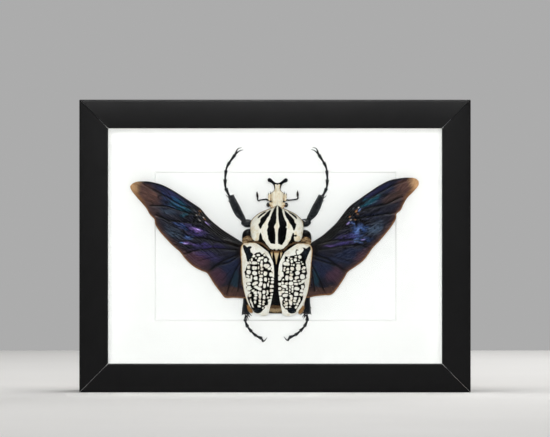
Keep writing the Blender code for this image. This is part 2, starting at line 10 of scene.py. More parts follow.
import bpy
import numpy as np
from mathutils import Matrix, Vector

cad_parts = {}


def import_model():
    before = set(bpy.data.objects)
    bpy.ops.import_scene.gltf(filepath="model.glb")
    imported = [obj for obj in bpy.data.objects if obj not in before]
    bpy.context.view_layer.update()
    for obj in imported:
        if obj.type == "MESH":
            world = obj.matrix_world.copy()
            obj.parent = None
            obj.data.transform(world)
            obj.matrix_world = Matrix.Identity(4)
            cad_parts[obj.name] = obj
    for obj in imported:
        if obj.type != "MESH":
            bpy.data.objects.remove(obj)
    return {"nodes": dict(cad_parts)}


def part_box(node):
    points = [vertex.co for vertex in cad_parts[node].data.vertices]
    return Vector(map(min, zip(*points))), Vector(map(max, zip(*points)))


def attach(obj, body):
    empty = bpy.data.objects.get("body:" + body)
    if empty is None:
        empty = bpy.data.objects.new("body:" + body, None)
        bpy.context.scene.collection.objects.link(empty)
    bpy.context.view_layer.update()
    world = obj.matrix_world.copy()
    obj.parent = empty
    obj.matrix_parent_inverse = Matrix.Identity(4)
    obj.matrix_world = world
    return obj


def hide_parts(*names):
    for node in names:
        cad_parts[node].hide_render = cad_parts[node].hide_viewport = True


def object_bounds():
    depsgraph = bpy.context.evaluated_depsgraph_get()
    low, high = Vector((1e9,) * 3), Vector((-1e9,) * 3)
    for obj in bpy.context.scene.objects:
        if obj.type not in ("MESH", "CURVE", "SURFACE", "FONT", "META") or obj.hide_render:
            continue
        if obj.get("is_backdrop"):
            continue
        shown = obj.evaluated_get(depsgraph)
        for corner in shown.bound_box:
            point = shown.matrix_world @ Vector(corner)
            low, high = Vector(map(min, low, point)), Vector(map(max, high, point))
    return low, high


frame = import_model()
cad_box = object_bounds()

MM = 0.001
SIDES = {"left": -1, "right": 1}

# Where the beetle lies: the board's front, the middle of the pane, and the same shift and lean as the solids
BOARD_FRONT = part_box("backing_board")[0][1]
PANE_LOW, PANE_HIGH = (np.array(corner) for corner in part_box("glass_pane"))
WAIST = (1.0 * MM, (PANE_LOW[2] + PANE_HIGH[2]) / 2)
LEAN = math.radians(0.9)

# The camera stands this far in front of the frame, in metres, and its lens takes in this width there
EYE_DISTANCE, EYE_HEIGHT, VIEW_WIDTH = 3.0, 0.1093, 0.3456
FRAME_FRONT = cad_box[0][1]

# Outlines seen from the front, as distance from the axis and z
ELYTRON_OUTER = (
    (20.8, 1.5), (22.4, -0.9), (22.6, -5.0), (21.9, -12.2), (21.4, -20.0), (20.5, -26.6), (19.1, -32.0),
    (16.9, -37.4), (13.0, -42.2),
)
ELYTRON_INNER = (
    (5.2, -3.8), (3.7, -6.8), (2.1, -10.3), (1.4, -14.7), (1.3, -20.9), (1.6, -28.1), (2.5, -33.5),
    (3.5, -38.6), (4.5, -43.0),
)
ELYTRON_BASE = ((5.2, -3.8), (9.4, -0.7), (13.2, 1.6), (17.3, 2.0), (20.8, 1.5))
ELYTRON_APEX = ((4.5, -43.0), (7.0, -43.9), (10.2, -43.5), (13.0, -42.2))


def world(x, h, z):
    """Points of the beetle, in mm, as points of the frame, in metres: turned by its lean, moved to its waist.

    Outlines are as seen from the camera, so each point moves away from the camera's axis by the share that
    its depth behind the frame's front takes off.
    """
    x, h, z = (np.asarray(value, float) * MM for value in (x, h, z))
    across = WAIST[0] + x * math.cos(LEAN) + z * math.sin(LEAN)
    up = WAIST[1] - x * math.sin(LEAN) + z * math.cos(LEAN)
    depth = BOARD_FRONT - h
    grown = 1 + (depth - FRAME_FRONT) / EYE_DISTANCE
    return np.stack([across * grown, depth, EYE_HEIGHT + (up - EYE_HEIGHT) * grown], axis=-1)


# Curves and noise


def smooth(points, count):
    """Points at even steps of length on the Catmull-Rom curve through the rows."""
    rows = np.array(points, float)
    ends = np.vstack([2 * rows[0] - rows[1], rows, 2 * rows[-1] - rows[-2]])
    place = np.linspace(0, len(rows) - 1, 24 * len(rows))
    span = np.minimum(place.astype(int), len(rows) - 2)
    t = (place - span)[:, None]
    a, b, c, d = (ends[span + k] for k in range(4))
    dense = 0.5 * (2 * b + (c - a) * t + (2 * a - 5 * b + 4 * c - d) * t**2 + (3 * b - a - 3 * c + d) * t**3)
    return evenly(dense, count)


def evenly(points, count):
    """Points at even steps of length along a polyline."""
    rows = np.array(points, float)
    length = np.concatenate([[0], np.cumsum(np.linalg.norm(np.diff(rows, axis=0), axis=1))])
    place = np.linspace(0, length[-1], count)
    return np.stack([np.interp(place, length, column) for column in rows.T], axis=1)


def noise(x, y, seed):
    """Value noise from -1 to 1: random heights on a unit lattice, blended between them by a quintic ease."""
    table = np.random.default_rng(seed).uniform(-1, 1, (64, 64))
    i, j = np.floor(x).astype(int), np.floor(y).astype(int)
    s, t = (f**3 * (f * (f * 6 - 15) + 10) for f in (x - i, y - j))
    corner = lambda a, b: table[(i + a) % 64, (j + b) % 64]
    low = corner(0, 0) * (1 - s) + corner(1, 0) * s
    high = corner(0, 1) * (1 - s) + corner(1, 1) * s
    return low * (1 - t) + high * t


def rough_noise(x, y, seed, octaves=3):
    """A sum of value noises, each twice as fine and half as strong as the one before."""
    return sum(noise(x * 2**k, y * 2**k, seed + k) / 2**k for k in range(octaves))


def ease(value, low, high):
    """A smooth step from 0 at low to 1 at high."""
    t = np.clip((value - low) / (high - low), 0, 1)
    return t * t * (3 - 2 * t)


def inside(x, z, outline):
    """Distance to a closed outline, positive inside: the nearest edge's distance, its sign from crossings."""
    corners = np.array(outline, float)
    nearest = np.full(x.shape, np.inf)
    crossed = np.zeros(x.shape, bool)
    for (ax, az), (bx, bz) in zip(corners, np.roll(corners, -1, axis=0)):
        ex, ez = bx - ax, bz - az
        t = np.clip(((x - ax) * ex + (z - az) * ez) / (ex * ex + ez * ez), 0, 1)
        nearest = np.minimum(nearest, np.hypot(x - ax - t * ex, z - az - t * ez))
        if az != bz:
            crossed ^= ((az > z) != (bz > z)) & (x < ex * (z - az) / ez + ax)
    return np.where(crossed, nearest, -nearest)


def off_line(x, z, points):
    """Distance to an open polyline."""
    nearest = np.full(x.shape, np.inf)
    for (ax, az), (bx, bz) in zip(points, points[1:]):
        ex, ez = bx - ax, bz - az
        t = np.clip(((x - ax) * ex + (z - az) * ez) / (ex * ex + ez * ez), 0, 1)
        nearest = np.minimum(nearest, np.hypot(x - ax - t * ex, z - az - t * ez))
    return nearest


# Meshes


def quads(rows, columns, wrap=False):
    """The faces of a grid of points, joined across its last column if it wraps."""
    row, column = np.meshgrid(np.arange(rows - 1), np.arange(columns if wrap else columns - 1), indexing="ij")
    after = (column + 1) % columns
    here, beyond = row * columns, (row + 1) * columns
    corners = [here + column, here + after, beyond + after, beyond + column]
    return np.stack(corners, axis=-1).reshape(-1, 4)


def volume(points, faces):
    """Six times the signed volume that faces of three or four corners span with the origin."""
    total = 0.0
    for a, b in ((1, 2), (2, 3)):
        if faces.shape[1] > b:
            area = np.cross(points[faces[:, a]], points[faces[:, b]])
            total += np.einsum("ij,ij->", points[faces[:, 0]], area)
    return total


def ringed(rings):
    """A closed skin over rings of points (ring, side, xyz): quads between them, and a fan at each end."""
    count, sides = rings.shape[:2]
    points = np.vstack([rings.reshape(-1, 3), rings[0].mean(axis=0), rings[-1].mean(axis=0)])
    side = np.arange(sides)
    after = (side + 1) % sides
    last = (count - 1) * sides
    first_pole = np.full(sides, count * sides)
    first_fan = np.stack([first_pole, after, side], 1)
    last_fan = np.stack([first_pole + 1, last + side, last + after], 1)
    fans = np.vstack([first_fan, last_fan])
    walls = quads(count, sides, wrap=True)
    centred = points - points.mean(axis=0)
    if volume(centred, walls) + volume(centred, fans) < 0:
        walls, fans = walls[:, ::-1], fans[:, ::-1]
    return {"points": points, "quads": walls, "fans": fans}


def tube(path, radii, sides=16, flat=1.0, ridge=0.0, face=(0, 1, 0)):
    """A skin round a path: rings square to it, of the given radii, flattened by `flat` along `face`, fluted.

    A ring's radius is r (1 + ridge cos 6a) at the angle a, and its second axis leans towards `face`.
    """
    path = np.asarray(path, float)
    forward = np.gradient(path, axis=0)
    forward /= np.linalg.norm(forward, axis=1)[:, None]
    facing = np.array(face, float) - forward * (forward @ np.array(face, float))[:, None]
    facing /= np.linalg.norm(facing, axis=1)[:, None]
    across = np.cross(forward, facing)
    angle = np.linspace(0, 2 * math.pi, sides, endpoint=False)
    size = np.asarray(radii, float)[:, None] * (1 + ridge * np.cos(6 * angle))[None]
    wide = across[:, None] * (size * np.cos(angle))[..., None]
    deep = facing[:, None] * (flat * size * np.sin(angle))[..., None]
    return ringed(path[:, None] + (wide + deep))


def rounded(points, count, blunt=0.12):
    """A smooth path with radii through rows of x, h, z and r, drawn in at both ends by a quarter ellipse."""
    rows = smooth(points, count)
    t = np.linspace(0, 1, count)
    share = np.clip(np.minimum(t, 1 - t) / blunt, 0.01, 1)
    ends = np.sqrt(1 - (1 - share) ** 2)
    return rows[:, :3], rows[:, 3] * ends


def strands(roots, tips, widths, seed, bow=0.15, rings=4):
    """Three-sided hairs from roots to tips: each bows in a random direction, and its width falls to 8%."""
    rng = np.random.default_rng(seed)
    roots, tips = np.asarray(roots, float), np.asarray(tips, float)
    along = tips - roots
    length = np.linalg.norm(along, axis=1, keepdims=True)
    sideways = np.cross(along, rng.normal(size=along.shape))
    sideways /= np.linalg.norm(sideways, axis=1, keepdims=True) + 1e-9
    other = np.cross(along / (length + 1e-9), sideways)
    t = np.linspace(0, 1, rings)[None, :, None]
    bowed = sideways[:, None] * (length * bow)[:, None] * np.sin(math.pi * t * 0.8)
    spine = roots[:, None] + along[:, None] * t + bowed
    angle = np.linspace(0, 2 * math.pi, 3, endpoint=False)
    circle = sideways[:, None] * np.cos(angle)[None, :, None] + other[:, None] * np.sin(angle)[None, :, None]
    width = np.broadcast_to(np.asarray(widths, float), (len(roots),))[:, None, None, None]
    points = spine[:, :, None] + circle[:, None] * width * (1 - 0.92 * t)[..., None]
    walls = quads(rings, 3, wrap=True)
    offset = (np.arange(len(roots)) * rings * 3)[:, None, None]
    last = (rings - 1) * 3
    caps = np.array([[0, 1, 2], [last + 2, last + 1, last]])
    every_wall, every_cap = (walls[None] + offset).reshape(-1, 4), (caps[None] + offset).reshape(-1, 3)
    if volume(points[0].reshape(-1, 3) - roots[0], walls) < 0:
        every_wall, every_cap = every_wall[:, ::-1], every_cap[:, ::-1]
    return {"points": points.reshape(-1, 3), "quads": every_wall, "fans": every_cap}


def shape_in_world(shape):
    """The same skin, with its points of the beetle turned into the frame's."""
    x, h, z = shape["points"].T
    return {**shape, "points": world(x, h, z)}


def piece(name, shapes, material, stands_for=(), fields=None, smooth_shaded=True):
    """Joins skins into one mesh with its material, rides it on the frame and hides the nodes that it stands
    for.

    `fields` gives a value, or a colour, for every point of the joined mesh.
    """
    starts = np.cumsum([0] + [len(shape["points"]) for shape in shapes])
    points = np.vstack([shape["points"] for shape in shapes])
    four = np.vstack([np.zeros((0, 4), int)] + [s["quads"] + start for s, start in zip(shapes, starts)])
    three = np.vstack(
        [np.zeros((0, 3), int)] + [s["fans"] + start for s, start in zip(shapes, starts) if "fans" in s]
    )
    mesh = bpy.data.meshes.new(name)
    mesh.vertices.add(len(points))
    mesh.vertices.foreach_set("co", points.ravel())
    mesh.loops.add(four.size + three.size)
    mesh.loops.foreach_set("vertex_index", np.concatenate([four.ravel(), three.ravel()]))
    mesh.polygons.add(len(four) + len(three))
    starts_of = np.concatenate([np.arange(len(four)) * 4, four.size + np.arange(len(three)) * 3])
    mesh.polygons.foreach_set("loop_start", starts_of)
    mesh.polygons.foreach_set("use_smooth", np.full(len(four) + len(three), smooth_shaded))
    for field, values in (fields or {}).items():
        values = np.asarray(values, np.float32)
        kind = "FLOAT" if values.ndim == 1 else "FLOAT_COLOR"
        layer = mesh.attributes.new(field, kind, "POINT")
        layer.data.foreach_set("value" if kind == "FLOAT" else "color", values.ravel())
    mesh.update(calc_edges=True)
    mesh.validate()
    made = bpy.data.objects.new(name, mesh)
    bpy.context.scene.collection.objects.link(made)
    mesh.materials.append(material)
    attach(made, "root")
    if stands_for:
        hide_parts(*stands_for)
    return made


def sheet(x, h, z, side):
    """An open sheet over a grid of points on one side of the axis, with its faces turned out."""
    faces = quads(*x.shape)
    if side == "right":
        faces = faces[:, ::-1]
    return {"points": world(SIDES[side] * x.ravel(), h.ravel(), z.ravel()), "quads": faces}


def thickened(obj, thickness):
    """Gives an open sheet a wall of the given thickness in mm, and closes its rim."""
    wall = obj.modifiers.new("Wall", "SOLIDIFY")
    wall.thickness = thickness * MM
    wall.offset = -1.0
    wall.use_rim = True


# Materials


class Finish:
    """A material under construction, with its Principled shader."""

    def __init__(self, name, **sockets):
        self.material = bpy.data.materials.new(name)
        self.material.use_nodes = True
        self.tree = self.material.node_tree
        self.shader = self.tree.nodes["Principled BSDF"]
        self.set(self.shader, sockets)

    def set(self, node, sockets):
        """Sets or links a node's inputs by name, with spaces written as underscores."""
        for name, value in sockets.items():
            socket = node.inputs[name if name in node.inputs else name.replace("_", " ")]
            if isinstance(value, bpy.types.NodeSocket):
                self.tree.links.new(value, socket)
            else:
                socket.default_value = value

    def add(self, kind, options=None, **sockets):
        """A new node of a kind, with its settings and its inputs."""
        node = self.tree.nodes.new("ShaderNode" + kind)
        for name, value in (options or {}).items():
            setattr(node, name, value)
        self.set(node, sockets)
        return node

    def place(self):
        """The shaded point's place in its object."""
        return self.add("TexCoord").outputs["Object"]

    def grain(self, size, detail=3.0, roughness=0.55, stretch=None):
        """Noise with features of a size in mm, drawn out along an axis by `stretch`."""
        spot = self.place()
        if stretch:
            spot = self.add("Mapping", Vector=spot, Scale=tuple(1 / s for s in stretch)).outputs["Vector"]
        scale = 1 / (size * MM)
        node = self.add("TexNoise", Vector=spot, Scale=scale, Detail=detail, Roughness=roughness)
        return node.outputs["Fac"]

    def steps(self, value, *stops):
        """A colour ramp: each stop is a place and a colour."""
        node = self.add("ValToRGB", Fac=value)
        ramp = node.color_ramp
        while len(ramp.elements) < len(stops):
            ramp.elements.new(0.5)
        for element, (place, colour) in zip(ramp.elements, stops):
            element.position = place
            element.color = (*colour, 1.0)
        return node.outputs["Color"]

    def between(self, factor, first, second):
        """A colour mixed from first to second by a factor."""
        node = self.add("MixRGB", Fac=factor)
        for socket, value in zip((node.inputs["Color1"], node.inputs["Color2"]), (first, second)):
            if isinstance(value, bpy.types.NodeSocket):
                self.tree.links.new(value, socket)
            else:
                socket.default_value = (*value, 1.0)
        return node.outputs["Color"]

    def scaled(self, value, low, high, to_low=0.0, to_high=1.0):
        """A value mapped from one range to another, and held inside it."""
        node = self.add("MapRange", {"clamp": True})
        ends = {"From Min": low, "From Max": high, "To Min": to_low, "To Max": to_high}
        self.set(node, {"Value": value, **ends})
        return node.outputs["Result"]

    def bump(self, height, depth, under=None):
        """A normal tilted by a height whose full range is `depth` mm."""
        node = self.add("Bump", Height=height, Distance=depth * MM, Strength=1.0)
        if under is not None:
            self.tree.links.new(under, node.inputs["Normal"])
        return node.outputs["Normal"]

    def field(self, name, output="Fac"):
        """One of the mesh's own fields, by its name."""
        return self.add("Attribute", {"attribute_name": name}).outputs[output]

    def finish(self, **sockets):
        """Sets the shader's last inputs and gives the material."""
        self.set(self.shader, sockets)
        return self.material


def black_lacquer():
    """Satin black paint, with a faint orange peel and slow changes of sheen."""
    made = Finish("black_lacquer", Specular_IOR_Level=0.19)
    colour = made.steps(made.grain(9.0), (0.3, (0.0010, 0.0010, 0.0012)), (0.7, (0.0018, 0.0018, 0.0021)))
    sheen = made.scaled(made.grain(4.0), 0.3, 0.7, 0.43, 0.50)
    peel = made.bump(made.grain(0.5), 0.012)
    return made.finish(Base_Color=colour, Roughness=sheen, Normal=peel)


def white_paper(name, tint=(0.955, 0.95, 0.94)):
    """White museum board: a fine fibrous tooth and hardly any change of tone."""
    made = Finish(name, Specular_IOR_Level=0.2, Roughness=0.9)
    darker = tuple(0.975 * value for value in tint)
    colour = made.steps(made.grain(6.0), (0.3, darker), (0.7, tint))
    tooth = made.bump(made.grain(0.25, detail=4.0), 0.02)
    return made.finish(Base_Color=colour, Normal=tooth)


def clear_glass():
    """A thin clear pane: light goes straight through, with a faint reflection that grows at grazing views."""
    made = Finish("clear_glass")
    tree = made.tree
    tree.nodes.remove(made.shader)
    through = made.add("BsdfTransparent", Color=(0.985, 0.992, 0.99, 1.0))
    shine = made.add("BsdfGlossy", Color=(1.0, 1.0, 1.0, 1.0), Roughness=0.03)
    edge = made.add("Fresnel", IOR=1.16).outputs["Fac"]
    dust = made.scaled(made.grain(14.0), 0.4, 0.9, 0.0, 0.006)
    factor = made.add("Math", {"operation": "ADD"})
    tree.links.new(edge, factor.inputs[0])
    tree.links.new(dust, factor.inputs[1])
    both = made.add("MixShader", Fac=factor.outputs[0])
    tree.links.new(through.outputs[0], both.inputs[1])
    tree.links.new(shine.outputs[0], both.inputs[2])
    tree.links.new(both.outputs[0], tree.nodes["Material Output"].inputs["Surface"])
    return made.material


def hardboard():
    """Brown fibreboard: matted fibres at two scales."""
    made = Finish("hardboard", Roughness=0.85, Specular_IOR_Level=0.3)
    browns = ((0.3, (0.20, 0.115, 0.055)), (0.5, (0.30, 0.185, 0.10)), (0.72, (0.40, 0.26, 0.15)))
    colour = made.steps(made.grain(1.6, detail=6.0, roughness=0.7), *browns)
    fibres = made.bump(made.grain(0.5, detail=5.0, stretch=(4, 1, 1)), 0.08)
    return made.finish(Base_Color=colour, Normal=fibres)


def zinc_steel():
    """Zinc-plated steel: pale metal with blotchy sheen and fine rolling lines."""
    made = Finish("zinc_steel", Metallic=1.0)
    colour = made.steps(made.grain(2.2), (0.3, (0.42, 0.43, 0.45)), (0.7, (0.62, 0.62, 0.61)))
    sheen = made.scaled(made.grain(1.1), 0.3, 0.7, 0.28, 0.46)
    lines = made.bump(made.grain(0.2, stretch=(14, 1, 1)), 0.006)
    return made.finish(Base_Color=colour, Roughness=sheen, Normal=lines)


def marked_shell(name, cream, stain=(0.52, 0.38, 0.20), rust=(0.26, 0.12, 0.045)):
    """Velvety cream with smooth black markings: `white` is the distance in mm into the cream, and `stain` how
    yellow it is, from none over the stain's colour at 0.6 to rust at 1. Black is painted with a blue sheen
    where its sheen field says.

    The cream is mottled at two scales, and dusky for the last 0.3 mm before a marking.
    """
    ink, painted_sheen_blue = (0.0008, 0.0009, 0.0012), (0.020, 0.028, 0.040)
    made = Finish(name, Specular_IOR_Level=0.035)
    edge = made.add("Math", {"operation": "ADD"})
    made.tree.links.new(made.field("white"), edge.inputs[0])
    made.tree.links.new(made.scaled(made.grain(0.5, detail=2.0), 0.25, 0.75, -0.05, 0.05), edge.inputs[1])
    white = made.scaled(edge.outputs[0], -0.05, 0.07)
    pale = tuple(min(1.0, 1.06 * value) for value in cream)
    speckle = made.scaled(made.grain(0.45, detail=5.0, roughness=0.75), 0.42, 0.78, 0.0, 0.5)
    base = made.between(speckle, pale, tuple(0.70 * value for value in cream))
    warm = made.scaled(made.grain(1.9, detail=4.0), 0.52, 0.72, 0.0, 0.30)
    base = made.between(warm, base, tuple(0.95 * value for value in stain))
    yellow = made.field("stain")
    base = made.between(made.scaled(yellow, 0.0, 0.6), base, stain)
    base = made.between(made.scaled(yellow, 0.65, 1.0), base, rust)
    dusk = made.scaled(edge.outputs[0], 0.04, 0.32, 0.50, 0.0)
    base = made.between(dusk, base, tuple(0.42 * value for value in stain))
    # Painted sheen: the black turns towards blue where the sheen field and a grain say, standing for its
    # shine
    painted_sheen = made.scaled(made.grain(0.6, detail=4.0), 0.40, 0.72)
    painted_sheen_share = made.add("Math", {"operation": "MULTIPLY"})
    made.tree.links.new(painted_sheen, painted_sheen_share.inputs[0])
    made.tree.links.new(made.field("painted_sheen"), painted_sheen_share.inputs[1])
    tone = made.between(painted_sheen_share.outputs[0], ink, painted_sheen_blue)
    colour = made.between(white, tone, base)
    sheen = made.scaled(white, 0.0, 1.0, 0.50, 0.8)
    velvet = made.bump(made.grain(0.18, detail=3.0), 0.03)
    raised = made.bump(white, 0.03, under=velvet)
    return made.finish(Base_Color=colour, Roughness=sheen, Normal=raised)


def black_chitin(name, colour=(0.0020, 0.0028, 0.0042), roughness=0.20, shine=0.42):
    """Black shell with slow changes of tone and sheen, and a fine uneven grain."""
    made = Finish(name, Specular_IOR_Level=shine, Coat_Weight=0.08, Coat_Roughness=0.12)
    lighter = tuple(2.4 * value for value in colour)
    tone = made.between(made.scaled(made.grain(1.4), 0.35, 0.7), colour, lighter)
    sheen = made.scaled(made.grain(0.8), 0.3, 0.7, roughness - 0.05, roughness + 0.14)
    grainy = made.bump(made.grain(0.45, detail=4.0, roughness=0.6), 0.05)
    return made.finish(Base_Color=tone, Roughness=sheen, Normal=grainy)


def wing_membrane():
    """Dark shimmering membrane: `skin` gives its colour, and fine streaks run out of the root by `flow`; they
    bump the surface into creases and make the colour darker in them and lighter on their ridges, partly as
    its streaky tone and partly as painted shade and highlight.
    """
    made = Finish("wing_membrane", Metallic=0.12, Roughness=0.5, Specular_IOR_Level=0.09)
    flow = made.field("flow", "Vector")
    streaks = made.add("TexNoise", Vector=flow, Scale=1.0, Detail=5.0, Roughness=0.62).outputs["Fac"]
    streak_tone_and_shade = made.scaled(streaks, 0.36, 0.68, 0.62, 1.42)
    dappled = made.add("VectorMath", {"operation": "SCALE"})
    made.tree.links.new(made.field("skin", "Color"), dappled.inputs[0])
    made.tree.links.new(streak_tone_and_shade, dappled.inputs["Scale"])
    creases = made.bump(streaks, 0.09)
    return made.finish(Base_Color=dappled.outputs["Vector"], Normal=creases)


def hair(name, root, tip):
    """Fine bristles, from one brown to another in patches."""
    made = Finish(name, Roughness=0.55, Specular_IOR_Level=0.4)
    colour = made.between(made.scaled(made.grain(0.7), 0.35, 0.65), root, tip)
    return made.finish(Base_Color=colour, Normal=made.bump(made.grain(0.1), 0.01))


def eye_lens():
    """A compound eye: shiny and nearly black, with small cells."""
    made = Finish("eye_lens", Specular_IOR_Level=0.7, Roughness=0.12, Coat_Weight=0.6)
    facets = made.add("TexVoronoi", Vector=made.place(), Scale=1 / (0.13 * MM)).outputs["Distance"]
    tone = made.between(made.scaled(facets, 0.1, 0.6), (0.009, 0.007, 0.006), (0.003, 0.003, 0.003))
    return made.finish(Base_Color=tone, Normal=made.bump(facets, 0.006))


LACQUER = black_lacquer()
MAT_PAPER = white_paper("mat_paper")
BOARD_PAPER = white_paper("board_paper", (0.95, 0.948, 0.94))
SPACER_PAPER = white_paper("spacer_paper", (0.94, 0.94, 0.93))
GLASS = clear_glass()
HARDBOARD = hardboard()
ZINC = zinc_steel()
ELYTRON_SHELL = marked_shell("elytron_shell", cream=(0.76, 0.745, 0.69))
PRONOTUM_SHELL = marked_shell("pronotum_shell", cream=(0.76, 0.735, 0.655), stain=(0.66, 0.54, 0.33))
HEAD_SHELL = marked_shell(
    "head_shell", cream=(0.75, 0.705, 0.59), stain=(0.66, 0.54, 0.36), rust=(0.24, 0.12, 0.045)
)
SCUTELLUM_SHELL = marked_shell("scutellum_shell", cream=(0.60, 0.50, 0.34))
PAD_SHELL = marked_shell(
    "pad_shell", cream=(0.27, 0.165, 0.08), stain=(0.09, 0.05, 0.025), rust=(0.03, 0.016, 0.009)
)
LEG_CHITIN = black_chitin("leg_chitin")
TRUNK_CHITIN = black_chitin("trunk_chitin", colour=(0.0010, 0.0009, 0.0009), roughness=0.5, shine=0.05)
HIND_CHITIN = black_chitin("hind_leg_chitin", roughness=0.30, shine=0.16)
CLUB_CHITIN = black_chitin("club_chitin", colour=(0.006, 0.0032, 0.003), roughness=0.40, shine=0.15)
VEIN_CHITIN = black_chitin("vein_chitin", colour=(0.0025, 0.0024, 0.0028), roughness=0.34, shine=0.25)
EYE_LENS = eye_lens()
MEMBRANE = wing_membrane()
TAN_HAIR = hair("tan_hair", (0.40, 0.27, 0.13), (0.66, 0.50, 0.29))
AMBER_HAIR = hair("amber_hair", (0.42, 0.20, 0.06), (0.62, 0.36, 0.14))
BROWN_HAIR = hair("brown_hair", (0.10, 0.05, 0.02), (0.26, 0.14, 0.06))


# Frame


def rail(side):
    """A mitred moulding of its node's size, with eased arrises.

    Its section is the node's L with arcs at the corners, and each of its points runs along the rail between
    mitres at 45 degrees.
    """
    node = f"frame_rail_{side}"
    low, high = (np.array(corner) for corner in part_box(node))
    upright = side in SIDES
    width = (high - low)[0 if upright else 2]
    span = (high - low)[2 if upright else 0]
    lip, lip_depth = 6 * MM, 5 * MM
    front, back = low[1], high[1]
    corners = (
        ((0, front), 1.1 * MM), ((width, front), 0.9 * MM), ((width, front + lip_depth), 0.3 * MM),
        ((width - lip, front + lip_depth), 0.2 * MM), ((width - lip, back), 0.4 * MM), ((0, back), 0.7 * MM),
    )
    section = []
    for number, ((inset, y), radius) in enumerate(corners):
        before, after = (np.array(corners[(number + step) % len(corners)][0]) for step in (-1, 1))
        here = np.array((inset, y))
        to_before, to_after = ((p - here) / np.linalg.norm(p - here) for p in (before, after))
        middle = here + radius * (to_before + to_after)
        turn = np.linspace(0, math.pi / 2, 6)[:, None]
        section.append(middle - radius * (to_after * np.cos(turn) + to_before * np.sin(turn)))
    section = np.vstack(section)
    steps = np.linspace(0, 1, 9)[:, None]
    inset = section[:, 0][None]
    along = inset + steps * (span - 2 * inset)
    outward, y = (np.broadcast_to(column, along.shape) for column in section.T)
    if side == "bottom":
        rings = np.stack([low[0] + along, y, low[2] + outward], axis=-1)
    elif side == "top":
        rings = np.stack([low[0] + along, y, high[2] - outward], axis=-1)
    elif side == "left":
        rings = np.stack([low[0] + outward, y, low[2] + along], axis=-1)
    else:
        rings = np.stack([high[0] - outward, y, low[2] + along], axis=-1)
    made = piece(f"rail_{side}", [ringed(rings)], LACQUER, [node])
    made.data.set_sharp_from_angle(angle=math.radians(28))


# The mat's window in mm, as left, right, bottom and top, and the width and depth of its bevel
MAT_WINDOW = (-75.8, 76.5, 44.9, 138.3)
MAT_BEVEL, MAT_CUT = 0.8, 0.95


def window_mat():
    """The mat as one closed ring of card: a profile of five corners, whose front edge is bevelled towards its
    window, carried round the four corners of its node's box."""
    low, high = (np.array(corner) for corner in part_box("window_mat"))
    front, back = low[1], high[1]
    left, right, bottom, top = (edge * MM for edge in MAT_WINDOW)
    depths = (front, back, back, front + MAT_CUT * MM, front)
    outer = np.array(((low[0], low[2]), (high[0], low[2]), (high[0], high[2]), (low[0], high[2])))
    inner = np.array(((left, bottom), (right, bottom), (right, top), (left, top)))
    ways = np.array(((-1, -1), (1, -1), (1, 1), (-1, 1)))
    loops = (outer, outer, inner, inner, inner + ways * (MAT_BEVEL * MM))
    profile = [np.column_stack([loop[:, 0], np.full(4, y), loop[:, 1]]) for loop, y in zip(loops, depths)]
    points = np.stack(profile, axis=1).reshape(-1, 3)
    walls = quads(5, 5, wrap=True) % len(points)
    if volume(points - points.mean(axis=0), walls) < 0:
        walls = walls[:, ::-1]
    shape = {"points": points, "quads": walls}
    piece("mat_card", [shape], MAT_PAPER, ["window_mat"], smooth_shaded=False)


def dress(node, material):
    """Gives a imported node, whose shape is right, its material."""
    obj = frame["nodes"][node]
    obj.data.materials.clear()
    obj.data.materials.append(material)


# Beetle


def patch(left, right, low, high, rows, columns):
    """A grid between four smooth edges (a Coons patch): low and high run across, left and right run along."""
    v, u = np.linspace(0, 1, rows)[:, None, None], np.linspace(0, 1, columns)[None, :, None]
    a, b = smooth(left, rows)[:, None], smooth(right, rows)[:, None]
    c, d = smooth(low, columns)[None], smooth(high, columns)[None]
    corners = (1 - v) * ((1 - u) * a[0, 0] + u * b[0, 0]) + v * ((1 - u) * a[-1, 0] + u * b[-1, 0])
    return (1 - u) * a + u * b + (1 - v) * c + v * d - corners


# Black patch at each wing case's shoulder
SHOULDER_PATCH = {
    "left": (
        (21, 0.6), (19.6, -0.1), (18.4, -1.2), (17.4, -0.6), (16.1, -0.4), (15.7, -1), (16.6, -2.3),
        (16.2, -3.9), (15.4, -4.9), (14.8, -5.9), (15.2, -6.6), (16.2, -7.2), (16, -8), (16.8, -9),
        (17.5, -10), (18.3, -9.8), (18.7, -7.9), (19.6, -4.9), (20.7, -2.4), (21.2, -0.6),
    ),
    "right": (
        (16.3, -0.7), (17.4, -0.9), (18.5, -1.5), (19.6, -0.8), (20.8, 0.3), (21.4, -0.5), (21.4, -1.9),
        (20.5, -3.5), (19.7, -5.7), (19, -7.5), (18.3, -9.3), (17.9, -9.1), (17.2, -8.2), (16.6, -6.5),
        (16.2, -5.4), (15, -5.2), (14.3, -5.2), (15.7, -4.1), (16.8, -2.7), (17.1, -1.6),
    ),
}

